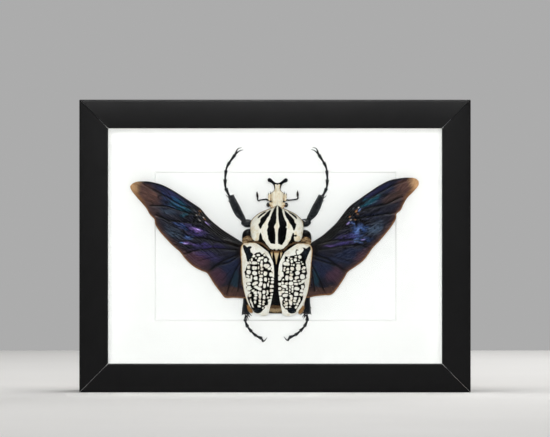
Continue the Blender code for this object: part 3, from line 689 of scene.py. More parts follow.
# Edge of the black field that the spots stand in
NETWORK = {
    "left": (
        (15.6, -4.4), (14.3, -5.7), (12.8, -4.4), (10.4, -4), (9.1, -5.4), (7.5, -4.6), (6.2, -6.5),
        (4.4, -8.3), (5.1, -9.5), (3.5, -11.1), (3.2, -12.4), (3.9, -13.4), (2.8, -13.8), (3.4, -15.4),
        (2.4, -16.5), (2.9, -19), (0.9, -20.4), (0.8, -32.6), (2.4, -33), (4.2, -33.6), (4.7, -35.7),
        (5, -37), (6.5, -38.6), (7.6, -39.9), (9.2, -41.7), (11.6, -42.5), (13.4, -41.6), (15, -39.7),
        (16.2, -37.1), (17.2, -34.6), (17.8, -32.9), (17.4, -30.9), (16.4, -30.1), (15.8, -28.7),
        (17, -28.6), (18.4, -27.4), (18.7, -26), (17.8, -25.1), (18.8, -24.2), (18.5, -23.1), (16.9, -22.8),
        (15.3, -22.7), (15.1, -20.6), (16.2, -20.6), (18.9, -20.1), (19.5, -18.5), (20, -16.7),
        (19.2, -15.5), (18.7, -13.5), (18, -12), (16.7, -11.8), (17.3, -10), (16.4, -8.8),
    ),
    "right": (
        (5.5, -6.3), (7.5, -6.6), (9.2, -6.1), (10.9, -5.8), (11.8, -5.3), (13.9, -5.2), (15.7, -4.9),
        (17.1, -5.7), (18.9, -6.8), (18.4, -10), (18.7, -12.5), (19.1, -15), (19.5, -17.2), (18.8, -18.3),
        (19, -19.9), (18.4, -20.1), (18.1, -21.2), (17.8, -22.6), (18.3, -25.5), (17.5, -26.6), (17, -29.1),
        (17, -32.3), (16.5, -33.8), (15.5, -35.9), (14.2, -38.1), (13.1, -39.9), (11.6, -41.7),
        (10.1, -42.3), (8.2, -41.6), (7.3, -39.8), (6, -39.5), (4.3, -37.4), (3.9, -35.6), (4.8, -33.2),
        (3.4, -32.3), (1, -31.5), (0.5, -18.2), (1.7, -18.5), (3.5, -20), (4.9, -18.5), (4.4, -16.3),
        (3.2, -15.7), (3.6, -13.1), (3.9, -11.3), (4.1, -10.2), (5.3, -9.3), (5.1, -7.7),
    ),
}
# The middle of the black patch near each tip, and a black curl on the right wing case
APEX_PATCH = {"left": (11.2, -40.5), "right": (10.3, -40.3)}
CURL = ((12.8, -5.2), (12.3, -4.2), (12.2, -3.2), (12.7, -2.1), (13.4, -2.4))

# How far every spot reaches past its ellipse, in mm
SPOT_GROWTH = 0.11
# White spots: place, half width, half length in mm and turn in degrees
SPOTS = {
    "left": (
        (14.6, -6.4, 1.1, 0.7, 15), (11.4, -5.8, 1, 0.6, 0), (7.3, -5.8, 0.7, 0.6, 0),
        (15.5, -8.8, 0.5, 1, 0), (12.9, -7.8, 0.4, 0.4, 0), (9.9, -7.8, 1.6, 0.7, -15),
        (11.1, -9.3, 0.9, 0.7, 0), (6.7, -9, 1.1, 1.1, 0), (16.4, -10.6, 0.9, 0.5, 40),
        (13.7, -10.9, 1.5, 1, 0), (11.3, -11.2, 0.4, 0.4, 0), (9.2, -10.1, 0.6, 0.6, 0),
        (9.3, -12.3, 0.7, 1.5, 0), (6.1, -12.5, 1.8, 0.9, 0), (6.1, -13.3, 0.8, 0.7, 0),
        (17.4, -13.5, 0.9, 1, 0), (13.6, -14, 1.5, 1.1, 0), (11.1, -13.8, 0.4, 0.9, 0),
        (8.8, -14.8, 0.7, 0.6, 0), (4.3, -14.3, 1, 0.8, -20), (17.3, -16.7, 1.3, 1.3, 0),
        (13.5, -17.3, 1.5, 1.2, 20), (10.5, -16.2, 0.4, 0.3, 0), (10.7, -17.2, 0.4, 0.5, 0),
        (9.1, -16.9, 0.5, 0.5, 0), (6.8, -17.4, 1.1, 1.3, 0), (3.3, -17.9, 1, 1.4, 0),
        (17.8, -19.3, 1.1, 0.6, 35), (15.5, -20, 0.5, 1.3, 0), (12.8, -20.4, 1.2, 1, 0),
        (9.6, -18.9, 1.1, 0.8, 0), (9.7, -21.3, 1, 1.1, 0), (6.7, -21.1, 0.9, 1.1, 0),
        (4.5, -20.9, 0.4, 0.5, 0), (2.3, -20.9, 0.9, 0.8, 0), (4.5, -22.5, 0.4, 0.4, 0),
        (2.3, -22.8, 0.9, 0.7, 0), (17.2, -24, 1.1, 0.7, 0), (13.1, -23.8, 1.8, 0.9, -25),
        (9.7, -24.2, 1, 1.4, 15), (7.2, -25, 0.8, 1.3, 0), (5, -24.3, 0.5, 1.1, 0), (2.6, -25.4, 1.2, 1, 0),
        (17, -26.7, 1.4, 1.4, 0), (11.3, -26.6, 2.4, 0.9, 20), (14.3, -28.3, 0.9, 0.5, -20),
        (15.4, -26.8, 0.3, 0.4, 0), (13, -29.5, 1.1, 0.9, -20), (10.9, -29.5, 0.5, 0.6, 0),
        (7.5, -29.1, 0.9, 1.2, 0), (5.3, -29.1, 0.5, 1.1, 0), (2.7, -28.1, 1.1, 0.8, 0),
        (9.9, -31.2, 0.7, 2.1, 0), (12.6, -31.2, 0.8, 0.7, 0), (16.3, -31.4, 1, 0.8, -15),
        (12.9, -33, 0.9, 0.7, 0), (7.4, -32.3, 0.7, 1.2, 0), (5.7, -30.7, 0.4, 0.4, 0),
        (4.9, -32.5, 0.7, 0.6, 0), (2.5, -30.3, 0.9, 0.7, 0), (2.6, -32.3, 1.1, 0.7, 0),
        (9.9, -34.6, 0.8, 0.7, 0), (12.9, -35.4, 0.7, 1, 0), (7.5, -35.2, 0.7, 0.8, 0),
        (15.1, -36.2, 0.5, 2.5, -22), (9.9, -36.3, 0.8, 0.6, 0), (7.7, -36.7, 0.6, 0.5, 0),
        (4, -34.8, 0.9, 1.1, 0), (10.4, -38.1, 0.9, 0.7, 0), (8, -39, 0.6, 0.5, 0),
        (6, -38.1, 0.8, 0.6, -30),
    ),
    "right": (
        (12.3, -6.5, 0.7, 0.5, 0), (14.8, -6.7, 1, 0.9, 0), (7.8, -7.2, 0.5, 0.5, 0),
        (9.4, -7.8, 0.6, 0.5, 0), (7.1, -9, 1, 0.7, 0), (11.9, -8.5, 0.9, 0.9, 10),
        (14.3, -8.6, 0.4, 0.4, 0), (9.7, -9.6, 0.7, 0.9, 0), (6.3, -11.1, 2, 1.1, -5),
        (5.2, -10.9, 0.7, 0.4, 0), (9.5, -11.6, 0.4, 0.4, 0), (10.9, -11.8, 0.6, 0.5, 0),
        (13, -10.3, 0.5, 0.4, 0), (14, -10.4, 0.7, 0.4, 0), (16.7, -10.9, 0.6, 0.5, 0),
        (15.8, -9.8, 0.4, 0.3, 0), (2.9, -14.2, 0.9, 2.1, 0), (5.2, -13.6, 0.5, 0.5, 0),
        (5.1, -15.1, 0.6, 0.7, 0), (7.2, -14.5, 0.7, 0.7, 0), (10, -14.1, 1.1, 1.1, 0),
        (14, -12, 1.2, 0.6, 0), (13.8, -13.7, 1.4, 1.4, 0), (17.6, -13.4, 0.8, 0.8, 0),
        (16.4, -14.2, 0.4, 0.5, 0), (7.2, -16.4, 0.8, 0.7, 0), (9.2, -16.1, 0.6, 0.5, 0),
        (9.7, -17.8, 1, 0.6, -10), (13.4, -16.7, 1.4, 1.2, 30), (17.2, -15.8, 0.9, 0.7, 0),
        (4, -18.1, 0.7, 1.2, 0), (2.2, -20.3, 1, 1.4, 0), (6.8, -19.9, 1, 1.6, 0), (9.4, -20, 1.1, 1.3, 20),
        (12.9, -19.8, 1.3, 0.8, 25), (16.6, -19.1, 1.5, 1.5, 0), (4.5, -21.1, 0.6, 0.4, 0),
        (12, -21.8, 1, 0.6, 0), (14.5, -21.6, 0.7, 0.4, 0), (17.4, -21.7, 1.4, 0.7, 15),
        (4.2, -23.1, 0.7, 0.7, 0), (6.5, -23.5, 0.9, 0.7, 0), (9.4, -23.4, 1.4, 1.1, 20),
        (12.6, -23.8, 1.2, 0.7, 0), (16, -23, 1.6, 0.5, 15), (2.3, -23.9, 0.9, 0.9, 0),
        (5.2, -25.2, 1.9, 0.8, -10), (10.3, -25.2, 0.6, 0.5, 0), (8.8, -25.9, 0.5, 0.7, 0),
        (2.4, -26.8, 1.1, 0.8, 0), (4.7, -27.1, 0.6, 0.4, 0), (6.9, -26.8, 0.5, 0.5, 0),
        (10.3, -26.8, 0.5, 0.8, 0), (13, -26.7, 1.5, 1, 0), (16.7, -25.5, 0.9, 1.2, 0),
        (4.2, -28.7, 1.3, 0.7, 10), (6.7, -28.8, 0.9, 0.7, 0), (8.7, -27.8, 0.4, 0.5, 0),
        (10.4, -28.5, 0.4, 0.7, 0), (16.2, -27.9, 1.1, 0.9, 0), (2.6, -29.7, 1, 1.3, 0),
        (8.7, -29.6, 0.4, 0.4, 0), (6, -31, 1.6, 0.9, 0), (9.6, -31.3, 0.9, 0.8, -30),
        (12.8, -29.9, 1.3, 1.2, 0), (15.9, -30.4, 1, 0.9, 0), (9.7, -32.8, 0.7, 0.9, 0),
        (12.2, -32.7, 1, 0.7, 0), (15, -32.7, 0.4, 0.4, 0), (3, -33.1, 1.1, 1.2, 0),
        (6.6, -33.6, 0.7, 0.8, 0), (8.5, -33.9, 0.4, 0.4, 0), (5.6, -35, 0.4, 0.4, 0),
        (11.8, -34.4, 0.9, 0.7, 0), (14.7, -34.1, 0.6, 1.3, -35), (9.4, -35.5, 0.9, 1.5, 10),
        (6.7, -36.2, 0.9, 1, 0), (13.7, -36.1, 0.6, 0.9, -35), (11.8, -36.3, 0.5, 0.4, 0),
        (6.7, -38.2, 0.9, 0.7, 0), (9.2, -38.2, 0.7, 0.4, -30), (12.8, -38.5, 0.6, 1.1, -30),
        (5.6, -37, 0.5, 0.4, 0), (2.9, -36.1, 1.1, 1.6, 0), (3.7, -39, 0.9, 1.4, 0),
    ),
}


def into_spots(x, z, side):
    """Distance in mm into the nearest spot: each is an ellipse of power 2.5, and its edge wobbles."""
    deepest = np.full(x.shape, -9.0)
    wobble_x, wobble_z = (0.20 * rough_noise(x / 1.2 + 9 * k, z / 1.2, 40 + k, 2) for k in (1, 2))
    for cx, cz, wide, long, degrees in SPOTS[side]:
        dx, dz, turn = x + wobble_x - cx, z + wobble_z - cz, math.radians(degrees)
        along, across = dx * math.cos(turn) + dz * math.sin(turn), dz * math.cos(turn) - dx * math.sin(turn)
        share = (np.abs(along / wide) ** 2.5 + np.abs(across / long) ** 2.5) ** (1 / 2.5)
        deepest = np.maximum(deepest, (1 - share) * min(wide, long))
    return deepest + SPOT_GROWTH


def elytron(side):
    """A wing case over its outline: crowned along the suture, curling down at the outer edge and the tip.

    Its height is the crown less a share of the drop to the outer edge that grows with the cube of the way
    across, with a raised bead and a furrow along its rim and slightly raised white.
    """
    rows, columns = 290, 140
    plan = patch(ELYTRON_INNER, ELYTRON_OUTER, ELYTRON_BASE, ELYTRON_APEX, rows, columns)
    x, z = plan[..., 0], plan[..., 1]
    v, u = np.linspace(0, 1, rows)[:, None], np.linspace(0, 1, columns)[None, :]
    crown = 19.6 + 2.2 * np.sin(math.pi * v**0.8) - 7.4 * v**4 - 1.5 * (1 - v) ** 8
    height = crown - (crown - (13.6 - 3.0 * v**2)) * u**3 - 0.5 * (1 - u) ** 6
    rim = np.minimum(np.minimum(u * 20, (1 - u) * 20), np.minimum(v * 44, (1 - v) * 44))
    height = height + 0.22 * np.exp(-((rim / 0.7) ** 2)) - 0.10 * np.exp(-(((rim - 1.5) / 0.6) ** 2))
    height = height + 0.10 * rough_noise(x / 5, z / 5, 5)
    shoulder = inside(x, z, SHOULDER_PATCH[side]) + 0.10 * noise(x / 1.1, z / 1.1, 6)
    apex_x, apex_z = APEX_PATCH[side]
    apex = (1 - np.hypot((x - apex_x) / 2.7, (z - apex_z) / 1.9)) * 1.9
    zone = inside(x, z, NETWORK[side]) + 0.12 * noise(x / 1.1, z / 1.1, 7)
    white = np.maximum(into_spots(x, z, side), -zone)
    white = np.minimum(white, np.minimum(-shoulder, -apex))
    if side == "right":
        white = np.minimum(white, off_line(x, z, CURL) - 0.24)
    height = height + 0.07 * ease(white, -0.1, 0.15)
    outer = ease(-rim, -2.6, -0.6) * ease(x, 10, 18) * ease(z, -30, -8)
    blotches = ease(rough_noise(x / 1.6, z / 3.0, 8), -0.2, 0.7)
    clouds = ease(rough_noise(x / 3.2, z / 4.5, 9), 0.1, 0.8)
    stain = outer * (0.08 + 0.40 * blotches) + 0.12 * clouds
    stain = stain + 0.8 * (1 - ease(rim, 0.1, 0.5)) * ease(x, 12, 16)
    grid = sheet(x, height, z, side)
    # Painted blue sheen on the black shoulder and tip patches
    painted_sheen = np.maximum(ease(shoulder, 0.1, 0.9), ease(apex, 0.1, 0.8))
    fields = {"white": white.ravel(), "stain": stain.ravel(), "painted_sheen": painted_sheen.ravel()}
    made = piece(f"elytron_{side}", [grid], ELYTRON_SHELL, [f"{side}_elytron"], fields)
    thickened(made, 0.5)


# Half of the pronotum's outline, from its front to its back
PRONOTUM_HALF = (
    (0.0, 25.9), (1.0, 25.4), (2.0, 24.8), (3.0, 24.2), (4.1, 23.7), (6.5, 22.8), (11.0, 20.7),
    (14.0, 18.4), (16.1, 16.0), (16.8, 13.2), (16.6, 9.6), (16.0, 6.2), (15.2, 4.1), (13.6, 3.0),
    (11.6, 3.0), (9.6, 2.9), (7.2, 0.8), (4.6, -1.4), (2.0, -2.4), (0.0, -2.6),
)
# Black stripes and the wedge behind them, on each side
STRIPES = {
    "left": (
        (
            (0.3, 25.6), (1.1, 24.6), (1.9, 23.2), (3.0, 20.9), (3.9, 18.5), (4.3, 16.9), (5.1, 15.2),
            (5.8, 13.5), (5.5, 12.4), (5.6, 11.3), (6.1, 10.0), (5.9, 7.9), (5.5, 6.3), (5.3, 4.6),
            (4.6, 3.2), (3.8, 1.8), (2.9, 1.4), (1.0, 1.3), (0.8, 5.2), (1.1, 8.7), (1.3, 10.8),
            (1.9, 11.9), (1.4, 13.1), (0.6, 14.6), (0.4, 16.9), (0.5, 22.1),
        ),
        (
            (4.2, 22.7), (5.2, 22.0), (6.5, 20.8), (8.1, 19.1), (9.7, 17.7), (10.5, 16.5), (10.6, 14.9),
            (11.6, 13.5), (11.3, 12.1), (10.5, 10.5), (9.8, 11.1), (9.2, 12.8), (8.0, 14.5), (7.1, 15.9),
            (6.4, 17.3), (5.0, 19.2), (4.4, 20.8), (3.9, 22.0),
        ),
        (
            (7.0, 21.7), (8.4, 21.1), (10.0, 20.0), (11.6, 18.7), (12.3, 17.4), (11.4, 17.5), (10.0, 18.7),
            (8.6, 19.9), (7.1, 21.1),
        ),
        (
            (10.3, 8.2), (11.0, 6.2), (11.1, 4.1), (11.5, 3.2), (12.4, 2.4), (9.7, 1.2), (7.3, -0.2),
            (5.4, -1.8), (3.6, -2.9), (4.7, -1.0), (6.4, 0.9), (7.4, 2.5), (8.8, 4.1), (9.3, 6.0),
            (9.7, 7.4),
        ),
    ),
    "right": (
        (
            (0.7, 25.6), (1.7, 24.7), (2.9, 23.1), (3.6, 20.7), (4.2, 18.4), (5.1, 16.5), (5.9, 15.1),
            (6.2, 13.7), (6.3, 12.8), (5.4, 12.0), (6.3, 11.3), (6.2, 10.0), (6.0, 8.3), (5.8, 6.7),
            (5.6, 5.0), (5.1, 3.4), (4.3, 2.2), (3.7, 0.9), (3.1, 0.7), (2.0, 1.2), (0.9, 1.5), (0.7, 5.2),
            (0.8, 9.9), (1.2, 11.2), (1.8, 12.3), (1.6, 13.3), (1.2, 14.6), (0.9, 16.9), (0.7, 22.1),
        ),
        (
            (4.4, 22.7), (5.5, 21.7), (6.7, 20.7), (7.9, 19.6), (9.5, 18.2), (10.7, 16.9), (11.1, 15.2),
            (12.1, 13.8), (11.8, 12.4), (11.3, 10.8), (10.8, 9.7), (10.3, 10.3), (9.8, 11.9), (9.1, 13.3),
            (7.9, 14.7), (7.0, 16.6), (5.8, 18.2), (4.9, 20.1),
        ),
        (
            (7.0, 21.8), (8.5, 21.2), (10.2, 20.3), (11.5, 19.4), (12.2, 18.4), (12.7, 17.1), (11.9, 17.4),
            (10.7, 18.5), (9.0, 19.9), (7.8, 20.8),
        ),
        (
            (10.1, 8.6), (9.4, 6.5), (8.9, 4.4), (7.8, 2.7), (7.0, 1.1), (5.6, -0.3), (3.4, -2.6),
            (6.5, -1.2), (9.1, 0.8), (12.2, 2.2), (11.0, 4.0), (10.8, 5.7), (11.2, 6.4), (11.7, 6.0),
            (12.5, 6.3), (12.7, 6.9), (12.1, 7.3), (11.1, 7.0), (10.7, 8.4),
        ),
    ),
}


def pronotum():
    """A domed shield over its outline: a point at the share r of the way to the rim stands at the rim's
    height plus the crown's rise times (1 - r^2.6)^(1/2.2). The underside is the same with the keel's drop."""
    turns, rings = 300, 120
    right = smooth(PRONOTUM_HALF, 400)
    full = np.vstack([right, right[-2:0:-1] * (-1, 1)])
    centre = np.array((0.0, 11.5))
    angle = np.arctan2(*(full - centre).T[::-1])
    order = np.argsort(angle)
    theta = np.linspace(-math.pi, math.pi, turns, endpoint=False)
    reach = np.interp(theta, angle[order], np.hypot(*(full - centre).T)[order], period=2 * math.pi)
    polar = np.linspace(0.02, math.pi - 0.02, rings)[:, None]
    share = np.sin(polar)
    x = share * reach * np.cos(theta)
    z = centre[1] + share * reach * np.sin(theta)
    rim = np.interp(z, (-2.6, 3.0, 7.0, 24.0), (17.9, 16.4, 13.2, 11.2))
    keel = np.interp(z, (-2.6, 2.6, 6.5, 12.0, 24.0), (16.8, 15.2, 6.0, 4.2, 8.0))
    rise = np.clip(1 - share**2.6, 0, 1) ** (1 / 2.2)
    upper = np.cos(polar) >= 0
    crown = 23.0 - 0.8 * ease(np.abs(x), 4, 16)
    h = rim + np.where(upper, (crown - rim) * rise, (keel - rim) * rise)
    bead = np.exp(-(((1 - share) * reach / 0.55) ** 2)) * upper
    h = h + 0.18 * bead * (share < 0.985) + 0.08 * rough_noise(x / 4, z / 4, 14) * upper
    side = np.abs(x)
    ragged = 0.10 * rough_noise(x / 0.8, z / 1.2, 15)
    striped = {
        name: np.maximum.reduce([inside(sign * x, z, outline) for outline in STRIPES[name]])
        for name, sign in SIDES.items()
    }
    black = np.where(x < 0, striped["left"], striped["right"]) + ragged
    notches = 0.42 - np.hypot(np.abs(side - 1.3) / 1.6, z + 2.3)
    black = np.maximum(black, np.where(upper, notches, -9.0))
    from_rim = (1 - share) * reach
    black = np.maximum(black, np.where(z > 12, 0.16 - from_rim, -1.0))
    black = np.maximum(black, np.where(upper, -9.0, ease(np.cos(polar), -0.02, -0.10) * 2 - 1))
    blotches = ease(rough_noise(x / 2.0, z / 2.8, 16), -0.1, 0.7)
    flecks = ease(rough_noise(x / 1.5, z / 3.0, 17), -0.1, 0.8)
    stain = 0.5 * ease(side, 10.0, 13) * blotches * ease(-z, -15, -8)
    stain = stain + 0.3 * np.exp(-(((z - 13.0) / 4.0) ** 2 + (side / 1.0) ** 2))
    stain = stain + 0.28 * ease(side, 6.2, 7.2) * (1 - ease(side, 8.4, 9.6)) * flecks
    stain = stain + 0.9 * ease(z, 12, 14) * (1 - ease(from_rim, 0.2, 0.75)) * upper
    skin = ringed(np.stack([x, h, z], axis=-1))
    pad = lambda values: np.concatenate([values.ravel(), [values[0].mean(), values[-1].mean()]])
    fields = {"white": pad(-black), "stain": pad(np.clip(stain, 0, 1)), "painted_sheen": pad(np.zeros(stain.shape))}
    piece("pronotum_shield", [shape_in_world(skin)], PRONOTUM_SHELL, ["pronotum"], fields)


# Head stations: z, half width, rim, top and underside heights
HEAD_STATIONS = (
    (23.9, 3.6, 10.9, 13.0, 8.4), (24.6, 4.2, 10.8, 13.8, 7.4), (26.2, 4.1, 10.8, 14.2, 7.0),
    (27.5, 3.7, 10.8, 14.3, 6.9), (28.7, 3.7, 10.8, 14.2, 7.0), (30.0, 4.1, 10.8, 14.2, 7.2),
    (31.4, 4.3, 11.0, 14.0, 7.7), (32.6, 4.25, 11.2, 13.8, 8.5), (33.6, 3.7, 11.4, 13.7, 9.3),
    (34.5, 2.5, 11.9, 13.8, 10.2), (35.6, 1.95, 12.4, 14.1, 10.9), (36.6, 2.0, 12.8, 14.4, 11.5),
    (37.6, 2.0, 13.0, 14.4, 12.0), (38.7, 1.9, 13.1, 14.2, 12.2), (39.1, 1.2, 13.1, 14.0, 12.4),
)
# Half width of the cream on the head, by z
HEAD_CREAM = (
    (23.0, 9.0), (28.1, 9.0), (28.7, 3.95), (33.0, 4.05), (33.7, 3.2), (34.6, 2.05), (35.8, 1.54),
    (37.0, 1.54), (38.2, 1.74), (39.0, 1.8),
)
# Wrinkles of the head as lines of distance from the axis and z
HEAD_WRINKLES = (
    ((2.6, 31.0), (2.3, 31.7), (2.6, 32.4), (3.2, 32.7)), ((1.4, 27.2), (2.2, 28.2), (3.1, 28.9)),
    ((2.3, 26.6), (3.0, 27.5), (3.7, 27.9)), ((3.4, 29.6), (3.0, 30.4), (3.2, 31.4)),
    ((0.9, 33.2), (1.3, 32.2), (1.2, 31.0)), ((0.5, 36.2), (0.9, 35.0), (1.8, 34.0)),
)
# The Y's two arms as one bar, from its middle outwards: x, h, z and radius
HORN_ARM = (
    (0.0, 13.0, 39.0, 0.60), (0.9, 13.0, 39.05, 0.64), (1.9, 13.15, 39.3, 0.74), (2.9, 13.45, 39.95, 0.86),
    (3.9, 13.7, 40.65, 0.98), (4.8, 13.9, 41.2, 1.26), (5.6, 14.0, 41.6, 1.22), (6.3, 14.0, 41.9, 1.0),
)
# More tubes of the head: the horn's roots, the side plates and the brows, and spikes as root, tip and width
HORN_ROOT = (
    (1.1, 12.9, 35.8, 0.75), (1.5, 12.9, 36.9, 0.66), (1.75, 13.0, 38.0, 0.62), (2.3, 13.2, 39.0, 0.7),
    (3.1, 13.5, 39.9, 0.7),
)
SIDE_PLATE = (
    (4.5, 11.9, 28.3, 0.8), (4.75, 12.1, 29.4, 1.05), (4.85, 12.2, 31.0, 1.05), (4.8, 12.0, 33.0, 0.9),
)
CANTHUS = ((2.4, 12.5, 23.9, 0.9), (3.2, 12.6, 24.9, 1.3), (3.7, 12.6, 26.1, 1.3), (4.1, 12.3, 27.5, 0.9))
HEAD_SPIKES = (((5.6, 11.6, 32.0), (5.8, 11.9, 33.6), 0.36), ((4.4, 12.0, 32.4), (4.4, 12.6, 34.5), 0.40))


def lofted(stations, rings, sides, squareness=2.2):
    """Rings of a body drawn through stations of z, half width, rim, top and underside, as superellipses."""
    z, half, rim, top, under = smooth(stations, rings).T[:, :, None]
    angle = np.linspace(0, 2 * math.pi, sides, endpoint=False)
    c, s = np.cos(angle)[None], np.sin(angle)[None]
    x = half * np.sign(c) * np.abs(c) ** (2 / squareness)
    lift = np.abs(s) ** (2 / squareness)
    h = np.where(s > 0, rim + (top - rim) * lift, rim - (rim - under) * lift)
    return np.stack([x, h, np.broadcast_to(z, x.shape)], axis=-1)


def head():
    """The head and its Y horn: a loft through stations, with a hollow face between two ridges and a groove
    along each wrinkle. The arms, side plates and brows are tubes, and the spikes are hairs of three sides."""
    rings = lofted(HEAD_STATIONS, 130, 56)
    x, h, z = np.moveaxis(rings, -1, 0)
    above = h > 11
    face = ease(z, 27.5, 29.5) * (1 - ease(z, 33.5, 35.5))
    ridge = 0.45 * np.exp(-((np.abs(x) - 2.7) ** 2) / 0.30) * face
    hollow = -0.55 * np.exp(-((x / 1.7) ** 2)) * face
    keel = 0.55 * np.exp(-((x / 0.7) ** 2)) * ease(z, 33.5, 35.5)
    wrinkled = np.minimum.reduce([off_line(np.abs(x), z, line) for line in HEAD_WRINKLES])
    grooves = -0.28 * np.exp(-((wrinkled / 0.22) ** 2))
    pits = 0.15 * rough_noise(x / 0.8, z / 0.8, 22)
    skull = ringed(np.stack([x, h + (ridge + hollow + keel + grooves + pits) * above, z], axis=-1))
    skins, whites, stains = [skull], [], []
    x, h, z = skull["points"].T
    side = np.abs(x)
    top = 38.72 - 0.15 * np.cos(3.3 * x) - z + 0.08 * noise(x / 0.7, z / 0.7, 23)
    edge = np.interp(z, *np.array(HEAD_CREAM).T) - side + 0.06 * noise(x / 0.5, z / 0.9, 24)
    neck = np.maximum(off_line(side, z, ((0.0, 28.2), (0.0, 26.0))) - 0.10, 0.05)
    whites.append(np.minimum.reduce([top, edge, neck, (h - 9.4) * 0.7]))
    cheek = ease(side, 2.4, 4.0) * (1 - ease(z, 26.6, 28.4))
    lines = np.exp(-((np.minimum.reduce([off_line(side, z, line) for line in HEAD_WRINKLES]) / 0.20) ** 2))
    blotch = ease(rough_noise(x / 1.1, z / 1.6, 21), 0.0, 0.8)
    mark = np.exp(-((x / 0.24) ** 2) - ((z - 31.3) / 0.7) ** 2)
    border = np.exp(-(((edge - 0.1) / 0.3) ** 2))
    stains.append(0.75 * mark + 0.35 * cheek + 0.45 * blotch + 0.42 * lines + 0.3 * border)

    def add(skin, white, stain):
        """One more skin of the head, with its two fields."""
        skins.append(skin)
        whites.append(np.broadcast_to(white, (len(skin["points"]),)))
        stains.append(np.broadcast_to(stain, (len(skin["points"]),)))

    arms = HORN_ARM[:0:-1]
    bar = [(-x, h, z, radius) for x, h, z, radius in arms] + list(HORN_ARM)
    path, radii = rounded(bar, 240, blunt=0.075)
    add(tube(path, radii, sides=32, flat=0.9), -1.0, 0.0)
    for sign in SIDES.values():
        flip = np.array((sign, 1, 1))
        path, radii = rounded(HORN_ROOT, 60, blunt=0.1)
        add(tube(path * flip, radii, sides=28, flat=0.9), -1.0, 0.0)
        path, radii = rounded(SIDE_PLATE, 80, blunt=0.2)
        radii = radii * (1 + 0.16 * rough_noise(path[:, 2] / 0.9, path[:, 0], 26))
        plate = tube(path * flip, radii, sides=40, flat=0.45)
        inner = np.abs(plate["points"][:, 0])
        mottled = rough_noise(inner / 0.7, plate["points"][:, 2] / 0.9, 25)
        add(plate, 0.60 - 0.5 * mottled, 0.42 + 0.5 * (1 - ease(inner, 4.2, 4.7)) + 0.35 * mottled)
        path, radii = rounded(CANTHUS, 60)
        brow = tube(path * flip, radii, sides=24, flat=0.75)
        x, _, z = brow["points"].T
        outward = np.abs(x) - np.interp(z, (24, 27.5), (3.6, 4.8))
        rim = np.maximum(ease(outward, 0.0, 0.4), 1 - ease(z, 23.9, 24.6)) * (z < 26.4)
        mottled = rough_noise(outward / 0.6, z / 0.8, 27)
        add(brow, 1.0, 0.30 + 0.30 * ease(outward, -2.0, -0.6) + 0.40 * rim + 0.30 * mottled)
        for root, tip, width in HEAD_SPIKES:
            add(strands([np.array(root) * flip], [np.array(tip) * flip], width, 3, bow=0.05), -1.0, 0.0)
    stain = np.clip(np.concatenate(stains), 0, 1)
    # A faint painted blue sheen over all of the head's black
    fields = {"white": np.concatenate(whites), "stain": stain, "painted_sheen": np.full(len(stain), 0.35)}
    skins = [shape_in_world(skin) for skin in skins]
    piece("head_and_horn", skins, HEAD_SHELL, ["head"], fields)


# The middle of an eye
EYE = (5.6, 10.8, 25.9)


def eye(side):
    """An eye: an ellipsoid whose radius swells a little in bands."""
    rings, sides = 64, 80
    polar = np.linspace(0.03, math.pi - 0.03, rings)[:, None]
    angle = np.linspace(0, 2 * math.pi, sides, endpoint=False)[None]
    radius = 1.42 * (1 + 0.004 * np.cos(14 * polar))
    x = radius * np.sin(polar) * np.cos(angle) * 0.92
    h = radius * np.sin(polar) * np.sin(angle)
    z = np.broadcast_to(radius * np.cos(polar) * 1.05, x.shape)
    centre = np.array(EYE) * (SIDES[side], 1, 1)
    ball = ringed(np.stack([x, h, z], axis=-1) + centre)
    piece(f"eye_{side}", [shape_in_world(ball)], EYE_LENS, [f"{side}_eye"])


# Antennae: the jointed stalk, then the foot and tip of its leaves
STALK = {
    "left": (
        (3.4, 10.4, 27.6), (4.8, 10.9, 28.6), (5.9, 10.9, 28.8), (7.1, 10.8, 29.2), (8.9, 10.6, 29.0),
        (10.6, 10.5, 28.8), (11.7, 10.4, 28.3), (12.3, 10.3, 29.0), (12.4, 10.3, 29.9),
    ),
    "right": (
        (3.6, 10.4, 27.6), (4.8, 10.9, 28.6), (6.0, 10.9, 29.0), (7.4, 10.8, 28.9), (9.5, 10.6, 29.2),
        (12.1, 10.4, 29.6), (12.9, 10.3, 30.3), (12.9, 10.3, 31.0),
    ),
}
# The radius of each joint
STALK_JOINTS = (0.66, 0.74, 0.62, 0.53, 0.50, 0.48, 0.48, 0.48, 0.50, 0.50)
CLUB = {"left": ((12.3, 10.3, 29.6), (12.9, 10.5, 34.1)), "right": ((12.8, 10.3, 30.6), (12.6, 10.5, 35.1))}


def stalk_of(points, sizes):
    """A jointed stalk as one tube: its radius runs through the joints' sizes and dips by 14% at each neck."""
    rows = smooth(points, 24 * len(sizes))
    along = np.linspace(0, len(sizes), len(rows))
    neck = np.exp(-(((along - np.round(along)) / 0.09) ** 2))
    radii = np.interp(along, np.arange(len(sizes)) + 0.5, sizes) * (1 - 0.14 * neck)
    return tube(rows, radii, sides=20)


def antenna(side):
    """An antenna: its jointed stalk, and a club of three flat tubes whose radius is a drawn-out sine."""
    flip = np.array((SIDES[side], 1, 1))
    stalk = [shape_in_world(stalk_of(np.array(STALK[side]) * flip, STALK_JOINTS))]
    piece(f"antenna_{side}", stalk, LEG_CHITIN, [f"{side}_antenna"])
    foot, tip = (np.array(end) * flip for end in CLUB[side])
    leaves = []
    for lean in (-0.3, 0.0, 0.3):
        t = np.linspace(0, 1, 26)[:, None]
        path = foot + (tip - foot) * t + np.array((lean * SIDES[side], 0.15 * lean, 0)) * np.sin(math.pi * t)
        radii = 0.56 * np.sin(math.pi * np.clip(t[:, 0], 0.02, 0.985) ** 0.66) ** 0.65
        leaves.append(shape_in_world(tube(path, radii, sides=14, flat=0.8, face=(1, 0, 0))))
    piece(f"antenna_club_{side}", leaves, CLUB_CHITIN)


